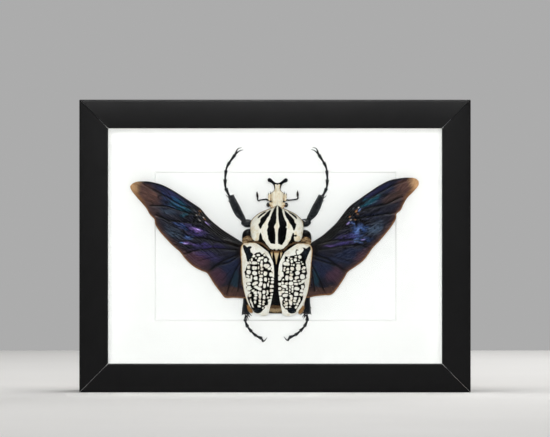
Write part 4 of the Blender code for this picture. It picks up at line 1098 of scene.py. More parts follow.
# Trunk stations: z, half width, rim, top and underside heights
TRUNK_STATIONS = (
    (5.0, 14.0, 9.5, 12.2, 7.0), (3.4, 15.6, 9.5, 13.4, 5.4), (0.8, 18.4, 9.5, 14.8, 3.4),
    (-2.0, 19.3, 9.2, 15.3, 1.2), (-6.0, 18.2, 8.6, 15.7, 0.4), (-12.0, 16.9, 8.0, 15.9, 0.3),
    (-20.0, 16.8, 7.5, 15.9, 0.3), (-28.0, 16.0, 7.0, 15.3, 0.5), (-34.0, 14.4, 6.8, 13.6, 1.2),
    (-38.5, 11.6, 6.6, 11.8, 2.2), (-41.0, 8.4, 6.5, 10.2, 3.4), (-42.4, 4.0, 6.6, 8.8, 4.8),
)
# Tubes over the trunk: x, h, z and radius
SHOULDER = (
    (15.6, 11.4, 7.6, 1.7), (17.2, 12.0, 8.3, 2.2), (18.8, 12.2, 7.4, 2.5), (19.7, 12.0, 5.2, 2.2),
    (20.2, 11.4, 2.8, 1.6),
)
NOTUM = ((16.6, 12.6, 0.6, 1.6), (16.6, 13.4, 2.6, 2.0), (17.2, 13.2, 4.6, 2.0), (17.6, 12.4, 6.6, 1.2))
FLANK = ((17.0, 8.6, -1.0, 2.0), (18.2, 9.6, 2.0, 2.6), (18.4, 10.2, 5.0, 2.6), (17.6, 10.0, 7.6, 1.8))


def trunk():
    """The thorax and abdomen: a loft with a shallow groove every 5.6 mm behind, and shoulders as tubes."""
    rings = lofted(TRUNK_STATIONS, 200, 96, squareness=2.3)
    x, h, z = np.moveaxis(rings, -1, 0)
    plate = np.where(z < -8, ((-z - 8) / 5.6) % 1.0, 0.5)
    step = 1 - 0.018 * np.exp(-(((plate - 0.5) / 0.5) ** 8)) - 0.022 * (plate > 0.92)
    middle_h = np.interp(z[:, :1], (-42, 0), (6.6, 9.0))
    rings = np.stack([x * step, middle_h + (h - middle_h) * step, z], axis=-1)
    skins = [ringed(rings)]
    for sign in SIDES.values():
        flip = np.array((sign, 1, 1))
        for rows in (SHOULDER, NOTUM, FLANK):
            path, radii = rounded(rows, 40, blunt=0.2)
            skins.append(tube(path * flip, radii, sides=28))
    skins = [shape_in_world(skin) for skin in skins]
    piece("trunk_plates", skins, TRUNK_CHITIN, ["trunk"])


def scutellum():
    """The small shield between the wing cases: a triangle drawn to a point, raised along its middle."""
    rows, columns = 90, 60
    v, u = np.linspace(0, 1, rows)[:, None], np.linspace(-1, 1, columns)[None, :]
    z = np.broadcast_to(-2.2 - 12.4 * v, (rows, columns))
    half = 4.9 * (1 - v) ** 0.85 + 0.12
    x = half * u
    h = 17.4 + 0.9 * (1 - np.abs(u) ** 2.2) * (1 - v) ** 0.5 - 0.6 * v - 0.5 * (1 - v) ** 8
    side = np.abs(x)
    wedge = ((-1.0, -2.0), (2.0, -2.0), (1.5, -4.6), (0.95, -6.6), (0.5, -8.6), (0.15, -11.4))
    middle = inside(side, z, (*wedge, (-1.0, -11.4)))
    streak = inside(side, z, ((2.2, -3.6), (3.7, -3.8), (3.0, -6.4), (2.3, -8.6))) - 0.05
    white = np.minimum(np.maximum(middle, streak), -3.1 - z + 0.5 * noise(x / 0.5, z / 2.0, 33))
    stain = 0.15 + 0.85 * ease(z, -5.4, -3.8) + 0.5 * np.exp(-((middle - 0.05) / 0.3) ** 2) * (side < 2.2)
    grid = {"points": world(x.ravel(), h.ravel(), z.ravel()), "quads": quads(rows, columns)}
    fields = {"white": white.ravel(), "stain": np.clip(stain, 0, 1).ravel(), "painted_sheen": np.zeros(white.size)}
    made = piece("scutellum_shield", [grid], SCUTELLUM_SHELL, ["scutellum"], fields)
    thickened(made, 0.6)


# Legs: x, h, z and radius down to the tibia's end, the foot's joints, its claws, and spurs as root and tip
LEGS = {
    "front": {
        "femur": (
            (15.4, 8.0, 13.7, 1.9), (17.0, 8.0, 13.9, 2.4), (18.8, 7.9, 14.1, 2.45),
            (20.3, 7.6, 14.6, 1.9), (21.2, 7.4, 15.4, 1.2),
        ),
        "tibia": (
            (19.6, 7.5, 14.4, 1.1), (20.3, 7.4, 15.8, 1.35), (21.5, 7.2, 17.7, 1.8),
            (23.3, 6.9, 20.1, 2.25), (25.2, 6.7, 23.8, 2.35), (26.8, 6.5, 27.2, 2.1),
            (27.9, 6.3, 30.0, 1.75), (28.6, 6.2, 31.4, 1.65),
        ),
        "foot": (
            (29.3, 6.1, 30.8), (31.6, 5.7, 36.2), (32.0, 5.3, 40.4), (31.8, 4.9, 44.9), (30.7, 4.5, 50.0),
            (26.2, 4.1, 57.0),
        ),
        "claws": (((24.75, 3.9, 60.5), (22.2, 3.2, 61.6)), ((23.7, 3.9, 59.3), (21.05, 3.2, 60.2))),
        "spurs": (
            ((28.5, 6.2, 29.0), (31.8, 6.0, 31.5)), ((28.0, 6.3, 26.6), (30.2, 6.2, 28.2)),
            ((27.6, 6.2, 30.0), (26.3, 6.0, 32.1)), ((28.4, 6.2, 30.4), (29.4, 6.0, 32.6)),
        ),
        "flat": 0.62,
    },
    "middle": {
        "femur": ((19.8, 5.4, -3.6, 1.5), (22.6, 5.4, -3.2, 2.0), (27.6, 5.2, -2.6, 1.9)),
        "tibia": (
            (28.6, 5.2, -3.4, 1.4), (29.8, 5.0, -9.0, 1.6), (29.8, 4.8, -14.4, 1.8),
            (29.6, 4.6, -17.4, 1.6),
        ),
        "foot": (
            (29.4, 4.4, -18.4), (29.0, 4.2, -20.8), (28.2, 4.0, -23.2), (27.0, 3.8, -25.4),
            (25.6, 3.6, -27.2), (23.8, 3.6, -28.8),
        ),
        "claws": (((22.4, 3.4, -30.4), (20.8, 3.0, -30.4)), ((22.6, 3.4, -29.2), (21.0, 3.0, -28.6))),
        "spurs": (((29.9, 4.6, -17.2), (31.4, 4.4, -18.4)), ((29.2, 4.6, -17.2), (27.6, 4.4, -18.4))),
        "flat": 0.7,
    },
    "hind": {
        "femur": (
            (18.2, 5.0, -12.0, 1.2), (19.8, 5.2, -15.0, 1.9), (20.3, 5.4, -22.0, 1.9),
            (20.3, 5.6, -25.4, 1.3),
        ),
        "tibia": (
            (20.2, 5.8, -25.0, 1.2), (19.7, 6.0, -31.0, 1.2), (19.4, 5.9, -35.0, 1.45),
            (19.25, 5.8, -38.5, 1.9), (19.3, 5.6, -43.2, 2.25),
        ),
        "foot": (
            (19.1, 5.4, -43.4), (19.35, 5.0, -46.8), (18.25, 4.7, -50.0), (16.0, 4.4, -53.0),
            (12.65, 4.0, -56.1), (8.7, 3.8, -58.0),
        ),
        "claws": (((7.3, 3.6, -59.7), (5.2, 3.2, -57.4)), ((7.9, 3.2, -60.0), (6.0, 2.8, -58.4))),
        "spurs": (
            ((17.6, 5.6, -41.6), (14.9, 5.4, -44.1)), ((18.0, 5.4, -43.0), (16.2, 5.2, -45.3)),
            ((20.6, 5.6, -42.0), (21.9, 5.4, -43.7)), ((20.6, 5.6, -38.2), (21.8, 5.4, -39.6)),
            ((18.4, 5.4, -43.6), (17.0, 5.0, -46.6)),
        ),
        "flat": 0.8,
    },
}

# How each leg's reach and place differ from the table's: a factor across and a shift in z
LEG_FIT = {
    ("front", "left"): (1.03, 0.0),
    ("front", "right"): (0.975, 0.9),
    ("middle", "left"): (1.03, 0.0),
    ("middle", "right"): (0.97, 0.0),
    ("hind", "left"): (0.975, -0.2),
    ("hind", "right"): (1.03, 0.7),
}


def foot_joints(joints, seed):
    """The foot: each joint flares from a narrow start to a collar, and pairs of spines reach past it."""
    rng = np.random.default_rng(seed)
    skins, roots, tips = [], [], []
    steps = 14
    rows = smooth(joints, steps * (len(joints) - 1) + 1)
    for number in range(len(joints) - 1):
        stretch = rows[number * steps : (number + 1) * steps + 1]
        t = np.linspace(0, 1, steps + 1)
        radii = (0.60 + 0.74 * t**1.8 - 0.66 * ease(t, 0.9, 1.0)) * (1 - 0.03 * number)
        if number == len(joints) - 2:
            radii = 0.60 + 0.60 * t**1.7 - 0.54 * ease(t, 0.93, 1.0)
        skins.append(tube(stretch, np.clip(radii, 0.25, None), sides=16, flat=0.85))
        ahead = stretch[-1] - stretch[-4]
        ahead = ahead / np.linalg.norm(ahead)
        outward = np.cross(ahead, (0, 1, 0))
        for collar, share in ((stretch[-3], 1.0), (stretch[-6], 0.7)):
            for way in (-1, 1):
                for reach in (1.2, 0.9):
                    lift = rng.uniform(-0.4, 0.4)
                    roots.append(collar + outward * way * 0.5 * share)
                    tip = collar + outward * way * reach * share + ahead * rng.uniform(0.5, 1.0) * share
                    tips.append(tip + np.array((0, lift, 0)))
    skins.append(strands(roots, tips, 0.20, seed, bow=0.06))
    return skins


def leg(kind, side):
    """One leg: a femur and a fluted tibia as tubes, bristles on the tibia's edges, spurs, a jointed foot and
    two hooked claws."""
    shape = LEGS[kind]
    spread, shift = LEG_FIT[kind, side]
    seed = {"front": 51, "middle": 52, "hind": 53}[kind]
    fit = lambda points: np.asarray(points, float) * (SIDES[side] * spread, 1, 1) + (0, 0, shift)
    path, radii = rounded(shape["femur"], 44, blunt=0.06)
    skins = [tube(fit(path), radii, sides=32, flat=0.85, ridge=0.04)]
    path, radii = rounded(shape["tibia"], 90, blunt=0.03)
    skins.append(tube(fit(path), radii, sides=48, flat=shape["flat"], ridge=0.09))
    skins += foot_joints(fit(shape["foot"]), seed)
    foot, before = (np.array(shape["foot"][k]) for k in (-1, -2))
    for bend, tip in shape["claws"]:
        rows = smooth(fit([foot + 0.1 * (before - foot), foot, bend, tip]), 30)
        skins.append(tube(rows, np.interp(np.linspace(0, 1, 30), (0, 0.3, 1), (0.55, 0.50, 0.10)), sides=12))
    roots, tips = (fit([spur[end] for spur in shape["spurs"]]) for end in (0, 1))
    skins.append(strands(roots, tips, 0.62, 2, bow=0.05, rings=7))
    rng = np.random.default_rng(seed + 7)
    bristles = 60
    spots = rng.uniform(0.25, 0.95, bristles) * (len(path) - 1)
    columns = (*path.T, radii)
    at = np.stack([np.interp(spots, np.arange(len(path)), column) for column in columns], axis=1)
    ahead = (path[-1] - path[0]) / np.linalg.norm(path[-1] - path[0])
    outward = np.cross(ahead, (0, 1, 0))[None] * np.where(rng.random(bristles) < 0.5, -1, 1)[:, None]
    roots = at[:, :3] + outward * at[:, 3:] * 0.85
    reach, slant = (rng.uniform(low, high, (bristles, 1)) for low, high in ((0.2, 0.7), (0.5, 1.2)))
    tips = roots + outward * reach + ahead * slant
    skins.append(strands(fit(roots), fit(tips), 0.08, seed + 8))
    skins = [shape_in_world(skin) for skin in skins]
    material = LEG_CHITIN if kind == "front" else HIND_CHITIN
    piece(f"leg_{kind}_{side}", skins, material, [f"{side}_{kind}_leg"])


# Hind wings: their edges as distance from the axis and z, from the body to the tip
WING_EDGES = {
    "left": (
        (
            (19.6, 0.4), (22.1, 2.0), (27.4, 5.3), (33.4, 9.1), (39.5, 13.8), (43.8, 17.7), (47.6, 22.2),
            (49.3, 23.6), (57.8, 29.1), (65.1, 33.7), (72.4, 37.3), (79.0, 39.0), (83.2, 39.4),
            (88.0, 39.1), (91.0, 37.9), (92.7, 36.0),
        ),
        (
            (17.8, -33.0), (21.0, -33.1), (26.8, -32.9), (31.8, -33.0), (35.2, -29.2), (38.9, -24.4),
            (42.0, -19.6), (43.8, -17.5), (47.4, -16.1), (52.3, -13.5), (57.2, -9.0), (60.8, -4.6),
            (65.1, -1.0), (69.4, 3.4), (73.7, 8.1), (76.4, 12.3), (77.1, 15.6), (79.9, 18.5), (82.3, 22.5),
            (84.8, 25.4), (89.0, 30.1), (91.8, 33.7), (92.7, 36.0),
        ),
    ),
    "right": (
        (
            (19.6, 0.4), (22.7, 2.7), (28.6, 6.7), (33.3, 11.0), (37.5, 15.3), (41.6, 20.8), (43.9, 23.8),
            (46.6, 26.6), (51.1, 30.0), (58.2, 35.2), (64.1, 39.2), (70.1, 42.3), (76.1, 43.7),
            (81.5, 44.3), (86.3, 43.9), (88.6, 42.2),
        ),
        (
            (17.8, -32.2), (21.4, -32.0), (24.9, -31.1), (30.3, -30.5), (35.2, -29.8), (39.3, -25.0),
            (42.8, -19.5), (45.1, -15.6), (49.3, -12.5), (54.1, -8.8), (57.6, -4.5), (60.5, -0.2),
            (64.7, 4.3), (68.8, 9.2), (72.4, 14.0), (74.7, 18.3), (75.0, 21.3), (77.6, 23.8), (79.3, 27.4),
            (81.7, 31.6), (85.2, 35.3), (88.5, 39.5), (88.6, 42.2),
        ),
    ),
}
# Where the folds fan out from
WING_ROOT = (20.0, -2.0)

# Folds of each wing as polylines, with their half width in mm: grooves in the relief, darkened in colour as
# painted shade
WING_FOLDS = {
    "left": (
        (((22, -5), (33, -9.5), (41, -15.5), (43.8, -17.5)), 0.9), (((22, -6), (30, -11), (38, -13)), 0.7),
        (((21, -8), (26, -16), (29, -24), (31, -31)), 0.6),
        (((24, -1), (34, 1.5), (46, 4.0), (56, 4.5)), 0.9),
        (((26, -3), (40, -2.0), (52, -3.8), (58, -6.0)), 0.8),
        (((49, 14), (58, 14), (68, 15), (76, 18)), 0.9), (((50, 18), (60, 21), (70, 24), (80, 24)), 0.7),
        (((50, 22), (60, 24.5), (72, 31), (84, 37)), 0.8), (((48, 20), (52, 17), (53, 12)), 0.8),
        (((22, -9), (22.6, -18), (24, -29)), 0.5),
    ),
    "right": (
        (((22, -5), (32, -7.5), (40, -13.0), (45.0, -16.0)), 1.0),
        (((21.5, -7), (30, -9.5), (37, -11.5)), 0.8), (((21, -9), (26, -18), (30, -27), (31.5, -30)), 0.6),
        (((26, 2), (36, 4.0), (47, 4.8), (56, 3.5)), 0.9),
        (((27, -2), (40, 0.5), (52, 1.5), (60, -1.0)), 0.8),
        (((46, 17), (55, 19), (65, 20.5), (74, 22)), 1.0), (((48, 21), (58, 25), (68, 27), (78, 32)), 0.8),
        (((49, 25), (60, 32), (72, 39), (82, 42.6)), 0.9), (((45, 22), (49, 19), (50, 13)), 0.9),
        (((22, -9), (22.8, -18), (24.4, -28)), 0.6),
    ),
}

# The wings' colours; the blackest serves both for black marks and for painted shade in creases, crumples and
# folds
DUSK, NAVY, BLUE = (0.010, 0.010, 0.018), (0.010, 0.014, 0.036), (0.026, 0.060, 0.190)
TEAL, SKY, LILAC = (0.008, 0.072, 0.110), (0.10, 0.17, 0.38), (0.38, 0.28, 0.62)
VIOLET, ORCHID, MAUVE = (0.036, 0.026, 0.115), (0.20, 0.11, 0.34), (0.050, 0.022, 0.036)
SLATE, BLACK_AND_SHADE, BONE = (0.042, 0.062, 0.100), (0.0012, 0.0012, 0.0016), (0.55, 0.50, 0.48)
UMBER, AMBER, GOLD = (0.050, 0.027, 0.022), (0.24, 0.11, 0.042), (0.50, 0.29, 0.145)
RUSSET, EMBER = (0.090, 0.044, 0.036), (0.50, 0.22, 0.08)

# Shimmering patches: colour, centre, half length and half width in mm, tilt in degrees, and strength
WING_PATCHES = {
    "left": (
        (NAVY, (66, 29), 17, 6.0, 30, 0.9), (VIOLET, (68, 31.5), 11, 2.4, 30, 0.30),
        (SKY, (65.5, 23.4), 6.0, 0.4, 32, 0.35), (TEAL, (60.5, 23.6), 8.0, 2.8, 33, 0.95),
        (BLUE, (66, 27.5), 8, 1.4, 33, 0.5), (RUSSET, (80, 30.0), 8, 4.5, 32, 0.9),
        (TEAL, (58.0, 18.7), 2.6, 1.0, 12, 0.9), (SLATE, (72, 21.0), 9, 2.0, 12, 0.7),
        (UMBER, (78, 22.0), 6, 3.0, 20, 0.6), (SLATE, (65.0, 7.8), 6.5, 3.6, 24, 1.0),
        (DUSK, (66, 14), 12, 3.4, 14, 0.8), (BLUE, (56.2, 4.6), 3.6, 1.4, 10, 0.85),
        (VIOLET, (53, 9.4), 9, 3.4, 24, 0.9), (ORCHID, (50.2, 9.6), 4.0, 1.1, 24, 0.7),
        (BLACK_AND_SHADE, (57.0, 10.0), 3.0, 1.8, 20, 0.95), (BLUE, (60, 11.5), 6, 1.2, 24, 0.6),
        (ORCHID, (55.0, 0.2), 5.5, 0.9, 6, 0.75), (VIOLET, (45.0, -0.4), 11.0, 1.5, 3, 0.95),
        (MAUVE, (50, -9.0), 9, 5.0, 22, 1.0), (VIOLET, (44, -6.2), 10, 3.0, 16, 0.5),
        (NAVY, (29, -13.0), 9, 6.0, -50, 1.0), (MAUVE, (37, -20.0), 5, 6.0, -50, 0.85),
        (TEAL, (25.5, -21.0), 3.0, 6.0, 5, 0.2), (UMBER, (29, -30.0), 12, 4.6, 0, 1.0),
        (RUSSET, (28, -31.0), 8, 1.8, 2, 0.6),
    ),
    "right": (
        (NAVY, (65, 34.0), 16, 5.0, 32, 0.9), (VIOLET, (62, 35.5), 10, 2.4, 34, 0.25),
        (TEAL, (58.5, 29.0), 8.5, 1.9, 31, 0.95), (RUSSET, (79, 38.0), 8, 4.0, 34, 0.8),
        (UMBER, (73, 31.5), 9, 3.0, 24, 0.7), (DUSK, (66, 24.5), 10, 3.0, 14, 0.8),
        (NAVY, (61, 20.0), 9, 2.0, 8, 0.9), (SLATE, (61.5, 12.0), 6, 4.2, 36, 1.0),
        (BLUE, (51.5, 9.8), 6.2, 3.6, 30, 1.0), (SKY, (51.0, 10.4), 3.4, 1.7, 30, 0.5),
        (BLUE, (47.0, 14.8), 5.0, 1.2, -18, 0.7), (BLUE, (55, 4.6), 6.0, 1.2, 8, 0.9),
        (SKY, (55.4, 4.2), 3.2, 0.7, 14, 0.6), (VIOLET, (45, 6.0), 7, 3.0, 20, 0.6),
        (BLACK_AND_SHADE, (53, 16.5), 4, 2.0, -30, 0.8), (VIOLET, (40, 1.8), 10.0, 1.1, 6, 0.9),
        (ORCHID, (33.0, 1.0), 4.0, 0.8, 4, 0.45), (SKY, (49.5, 4.0), 3.0, 0.8, 10, 0.5),
        (NAVY, (45, -5.0), 13, 4.5, 20, 1.0), (MAUVE, (55, -5.5), 6, 4.5, 34, 0.85),
        (NAVY, (29, -12.0), 9, 6.0, -45, 1.0), (MAUVE, (37, -17.5), 5, 6.0, -45, 0.75),
        (TEAL, (25.0, -19.0), 2.6, 7.0, 8, 0.3), (UMBER, (30, -28.5), 12, 3.6, 4, 1.0),
        (RUSSET, (27, -30.0), 8, 1.6, 3, 0.5),
    ),
}

# Flecks where each wing folds, partly its own colour and partly painted highlights on the crumples: colour,
# centre, half length and half width in mm, and tilt in degrees
WING_FLECKS = {
    "left": (
        (EMBER, (48.3, 21.0), 1.1, 0.55, 20), (AMBER, (48.8, 19.4), 0.9, 0.4, 50),
        (EMBER, (45.5, 16.0), 0.9, 0.4, 30), (BONE, (46.0, 17.3), 0.8, 0.4, 30),
        (BONE, (48.5, 15.3), 0.9, 0.3, 30), (LILAC, (42.7, 13.2), 1.5, 0.55, 32),
        (LILAC, (44.4, 14.0), 0.9, 0.4, 30), (BONE, (50.6, 18.8), 0.6, 0.3, 10),
        (LILAC, (49.5, 9.7), 1.6, 0.30, 25), (ORCHID, (51.7, 10.4), 1.4, 0.4, 20),
        (SKY, (56.1, 4.8), 1.6, 0.4, 10), (SKY, (59.6, 1.0), 1.8, 0.35, 4),
        (LILAC, (57.2, 0.5), 1.8, 0.25, 6),
    ),
    "right": (
        (EMBER, (49.8, 22.9), 1.0, 0.5, 35), (EMBER, (46.0, 19.4), 0.7, 0.35, 15),
        (AMBER, (50.6, 20.8), 0.9, 0.25, -30), (BONE, (46.4, 17.4), 0.7, 0.35, 20),
        (LILAC, (44.7, 14.8), 1.3, 0.45, 40), (BONE, (51.4, 24.8), 0.6, 0.25, 60),
        (SKY, (51.8, 23.4), 1.1, 0.35, 40), (AMBER, (48.6, 17.4), 0.8, 0.25, -15),
        (SKY, (47.9, 14.7), 1.4, 0.35, -20), (SKY, (50.6, 10.8), 1.6, 0.4, 30),
        (SKY, (49.8, 5.0), 1.8, 0.4, 14), (LILAC, (54.4, 4.8), 1.6, 0.25, 10),
    ),
}
# x + 0.35 z at each wing's tip
TIP_REACH = {"left": 105.3, "right": 103.4}


def fan_of(x, z):
    """The way out of the root: the angle in degrees, bent by slow noise, and the distance in mm."""
    away_x, away_z = x - WING_ROOT[0] + 1.5, z - WING_ROOT[1]
    bent = 2.2 * rough_noise(x / 15, z / 15, 71)
    return np.degrees(np.arctan2(away_z, away_x)) + bent, np.hypot(away_x, away_z)


def wing_skin(x, z, to_edge, to_lead, side):
    """The membrane's colour: soft elliptical patches over dusk, combed by streaks that fan out from the root,
    painted shade in its creases and crumples, along the folds and towards the root, black along the leading
    edge, flecks at the joint that are partly painted highlights, brown towards the trailing edge, a thin
    amber rim, and gold at the tip."""
    colour = np.broadcast_to(np.array(DUSK), (*x.shape, 3)).copy()
    seed = {"left": 61, "right": 161}[side]
    drift_x, drift_z = (1.1 * rough_noise(x / 5.0, z / 2.5, seed + k) for k in (0, 4))
    lay = lambda tint, share: colour + (np.array(tint) - colour) * share[..., None]
    fan, rho = fan_of(x, z)
    comb = ease(noise(fan / 1.5, rho / 9, seed + 8) + 0.6 * noise(fan / 0.8, rho / 6, seed + 9), -0.1, 0.8)
    for tint, (cx, cz), long, wide, tilt, strength in WING_PATCHES[side]:
        turn = math.radians(tilt)
        dx, dz = x + drift_x - cx, z + drift_z - cz
        along, across = dx * math.cos(turn) + dz * math.sin(turn), dz * math.cos(turn) - dx * math.sin(turn)
        share = strength * (1 - ease(np.hypot(along / long, across / wide), 0.5, 1.3))
        colour = lay(tint, share * (1 - 0.55 * comb * (np.mean(tint) > 0.04)))
    # Fine dark creases that fan out from the root: painted shade
    hairline = 1 - np.abs(noise(fan / 2.4, rho / 26, seed + 10))
    outer = 1 - np.abs(noise(fan / 1.3, rho / 16, seed + 11))
    hairline = np.where(rho > 36, np.maximum(hairline, outer), hairline)
    colour = lay(BLACK_AND_SHADE, 0.85 * ease(hairline, 0.88, 0.985) * ease(rho, 8, 16) * ease(to_edge, 2.0, 7.0))
    # Darker in patches among the crumples in the middle: painted shade
    crumpled = ease(rho, 14, 24) * (1 - ease(rho, 44, 56)) * ease(fan, -8, 4)
    broken = rough_noise(x / 1.5, z / 0.9, seed + 12)
    colour = lay(BLACK_AND_SHADE, 0.8 * crumpled * ease(broken, 0.15, 0.7))
    # Darker along the folds, whose grooves the relief has: painted shade
    for line, half in WING_FOLDS[side]:
        colour = lay(BLACK_AND_SHADE, 0.9 * (1 - ease(off_line(x, z, line), 0.25 * half, 1.3 * half)))
    veined = (1 - ease(to_lead, 4.2, 6.8)) * (1 - ease(x, 44, 50))
    ribs = 0.5 + 0.5 * np.cos(to_lead * 5.2 + 0.8 * noise(x / 5, z / 5, seed + 13))
    colour = lay((0.003, 0.003, 0.003), 0.95 * veined)
    colour = lay((0.045, 0.030, 0.024), 0.6 * veined * ease(ribs, 0.72, 0.98))
    # Flecks at the joint: partly the wing's own colour, partly painted highlights on its crumples
    for tint, (cx, cz), long, wide, tilt in WING_FLECKS[side]:
        turn = math.radians(tilt)
        dx, dz = x + 0.3 * drift_x - cx, z + 0.3 * drift_z - cz
        along, across = dx * math.cos(turn) + dz * math.sin(turn), dz * math.cos(turn) - dx * math.sin(turn)
        colour = lay(tint, 1 - ease(np.hypot(along / long, across / wide), 0.5, 1.3))
    # Darker towards the root, where the wing runs in under its case: painted shade
    root = 1 - ease(np.hypot(x - WING_ROOT[0], z - WING_ROOT[1]), 4, 11)
    colour = lay(BLACK_AND_SHADE, 0.92 * root)
    margin = (1 - ease(to_edge, 0.3, 4.2)) * ease(x, 20, 26)
    colour = lay((0.065, 0.031, 0.026), 0.7 * margin)
    colour = lay(AMBER, 0.85 * (1 - ease(to_edge, 0.25, 1.1)))
    tip = x + 0.35 * z - TIP_REACH[side]
    colour = lay(RUSSET, 0.7 * ease(tip, -18, -7) * ease(to_lead, 0.6, 2.6))
    colour = lay(AMBER, 0.7 * ease(tip, -18, -7) * (1 - ease(to_edge, 0.6, 3.4)))
    colour = lay(BLACK_AND_SHADE, 0.9 * (1 - ease(to_lead, 0.35, 1.5)) * (1 - ease(tip, -14, -5)))
    return lay(GOLD, 0.95 * ease(tip + 0.6 * noise(fan / 0.5, rho / 6, seed + 14), -8.5, -0.5))


def wing_relief(x, z, to_edge, side):
    """Folds as grooves, pleats that fan out from the root, and crumples drawn out along the wing, in mm."""
    height = np.zeros(x.shape)
    for line, half in WING_FOLDS[side]:
        height = height - 0.5 * np.exp(-((off_line(x, z, line) / (0.9 * half)) ** 2))
    fan, rho = fan_of(x, z)
    inner, outer = ease(rho, 6, 20), 1 - ease(rho, 55, 70)
    height = height + 0.22 * inner * (1 - np.abs(noise(fan / 3.2, rho / 40, 72))) * outer
    along, across = x * 0.85 + z * 0.53, z * 0.85 - x * 0.53
    bend = across + 0.8 * rough_noise(along / 12, across / 6, 73)
    crumple = 1 - np.abs(rough_noise(along / 7.5, bend / 1.5, {"left": 74, "right": 84}[side]))
    middle = ease(rho, 14, 24) * (1 - ease(rho, 46, 58)) * ease(fan, -22, -10)
    height = height + (0.14 + 0.55 * middle) * (crumple - 0.6) * ease(to_edge, 0.3, 3.0)
    broken = rough_noise(x / 1.7, z / 1.4, {"left": 91, "right": 92}[side])
    joint = np.exp(-((x - 47) ** 2 / 40 + (z - 16) ** 2 / 60))
    return height + 0.45 * joint * broken


def wing_grid(side, rows, columns):
    """Points of a wing: each row runs straight from the leading edge to the trailing edge."""
    lead, trail = WING_EDGES[side]
    share = np.linspace(0, 1, columns)[None, :, None]
    a, b = (evenly(smooth(edge, 600), rows)[:, None] for edge in (lead, trail))
    plan = (1 - share) * a + share * b
    return plan[..., 0], plan[..., 1]


def wing_height(x, z, side, to_edge):
    """Height above the board: it slopes down from the root to the tip, with the relief on it."""
    reach = np.clip((x - 20) / 72, 0, 1)
    sag = 0.5 * np.sin(reach * 2.4) * np.sin(np.clip((z + 33) / 70, 0, 1) * math.pi)
    return 8.6 - 2.4 * reach**0.8 + sag + np.clip(wing_relief(x, z, to_edge, side), -0.9, 0.9)


def hindwing(side):
    """A spread hind wing: a thin wrinkled sheet, with its veins as tapering tubes laid on it."""
    x, z = wing_grid(side, 330, 130)
    lead, trail = WING_EDGES[side]
    to_lead, to_trail = off_line(x, z, lead), off_line(x, z, trail)
    to_edge = np.where(x < 24, np.minimum(to_trail, 3.0), to_trail)
    h = wing_height(x, z, side, to_edge)
    skin = wing_skin(x, z, to_edge, to_lead, side)
    grid = sheet(x, h, z, side)
    fan, rho = fan_of(x, z)
    one = np.ones(x.size)
    fields = {
        "skin": np.column_stack([skin.reshape(-1, 3), one]),
        "flow": np.column_stack([fan.ravel() * 0.9, rho.ravel() / 7.0, 0 * one, one]),
    }
    made = piece(f"hindwing_{side}", [grid], MEMBRANE, [f"{side}_hindwing"], fields)
    thickened(made, 0.12)
    veins(side, x, z, h)


# Veins: distance in mm from the leading edge, the shares of it where they start and end, and radius
VEINS = {
    "left": (
        (0.35, 0.0, 0.94, 0.50), (1.5, 0.0, 0.56, 0.42), (2.6, 0.02, 0.55, 0.36), (3.7, 0.03, 0.54, 0.34),
        (4.9, 0.05, 0.50, 0.30),
    ),
    "right": (
        (0.35, 0.0, 0.94, 0.50), (1.4, 0.0, 0.55, 0.42), (2.5, 0.02, 0.54, 0.36), (3.6, 0.03, 0.53, 0.34),
        (4.8, 0.05, 0.49, 0.30),
    ),
}


def veins(side, x, z, h):
    """Veins of a wing: tubes at their own distances from the leading edge, gathered towards both ends, at the
    height of the sheet's nearest points."""
    lead = smooth(WING_EDGES[side][0], 240)
    skins = []
    for inset, start, end, radius in VEINS[side]:
        run = lead[int(start * 239) : int(end * 239) + 1]
        t = np.linspace(0, 1, len(run))
        across = np.gradient(run, axis=0)[:, ::-1] * (1, -1)
        across /= np.linalg.norm(across, axis=1)[:, None]
        gather = np.minimum(1, 0.35 + t * 2.4) * np.minimum(1, 0.45 + (1 - t) * 6)
        path = evenly(run + across * (inset * gather)[:, None], 110)
        near = np.argmin((x.ravel()[None] - path[:, :1]) ** 2 + (z.ravel()[None] - path[:, 1:]) ** 2, axis=1)
        level = np.convolve(np.pad(h.ravel()[near], 4, mode="edge"), np.ones(9) / 9, mode="valid") + 0.25
        radii = radius * np.interp(np.linspace(0, 1, 110), (0, 0.05, 0.6, 0.85, 1), (0.7, 1.0, 0.8, 0.5, 0.1))
        skins.append(tube(np.column_stack([path[:, 0] * SIDES[side], level, path[:, 1]]), radii, sides=10))
    skins = [shape_in_world(skin) for skin in skins]
    piece(f"wing_veins_{side}", skins, VEIN_CHITIN)


# Hairs


def fringe(path, direction, length, count, spread, width, seed, depth):
    """Hairs along a path of x, h, z points, with random roots beside it and a random spread of direction."""
    rng = np.random.default_rng(seed)
    rows = smooth(path, 200)
    roots = rows[rng.integers(0, 200, count)] + rng.normal(0, depth, (count, 3))
    aim = np.array(direction, float) / np.linalg.norm(direction) + rng.normal(0, spread, (count, 3))
    aim /= np.linalg.norm(aim, axis=1)[:, None]
    tips = roots + aim * rng.uniform(0.6, 1.1, (count, 1)) * length
    return strands(roots, tips, width, seed + 1)


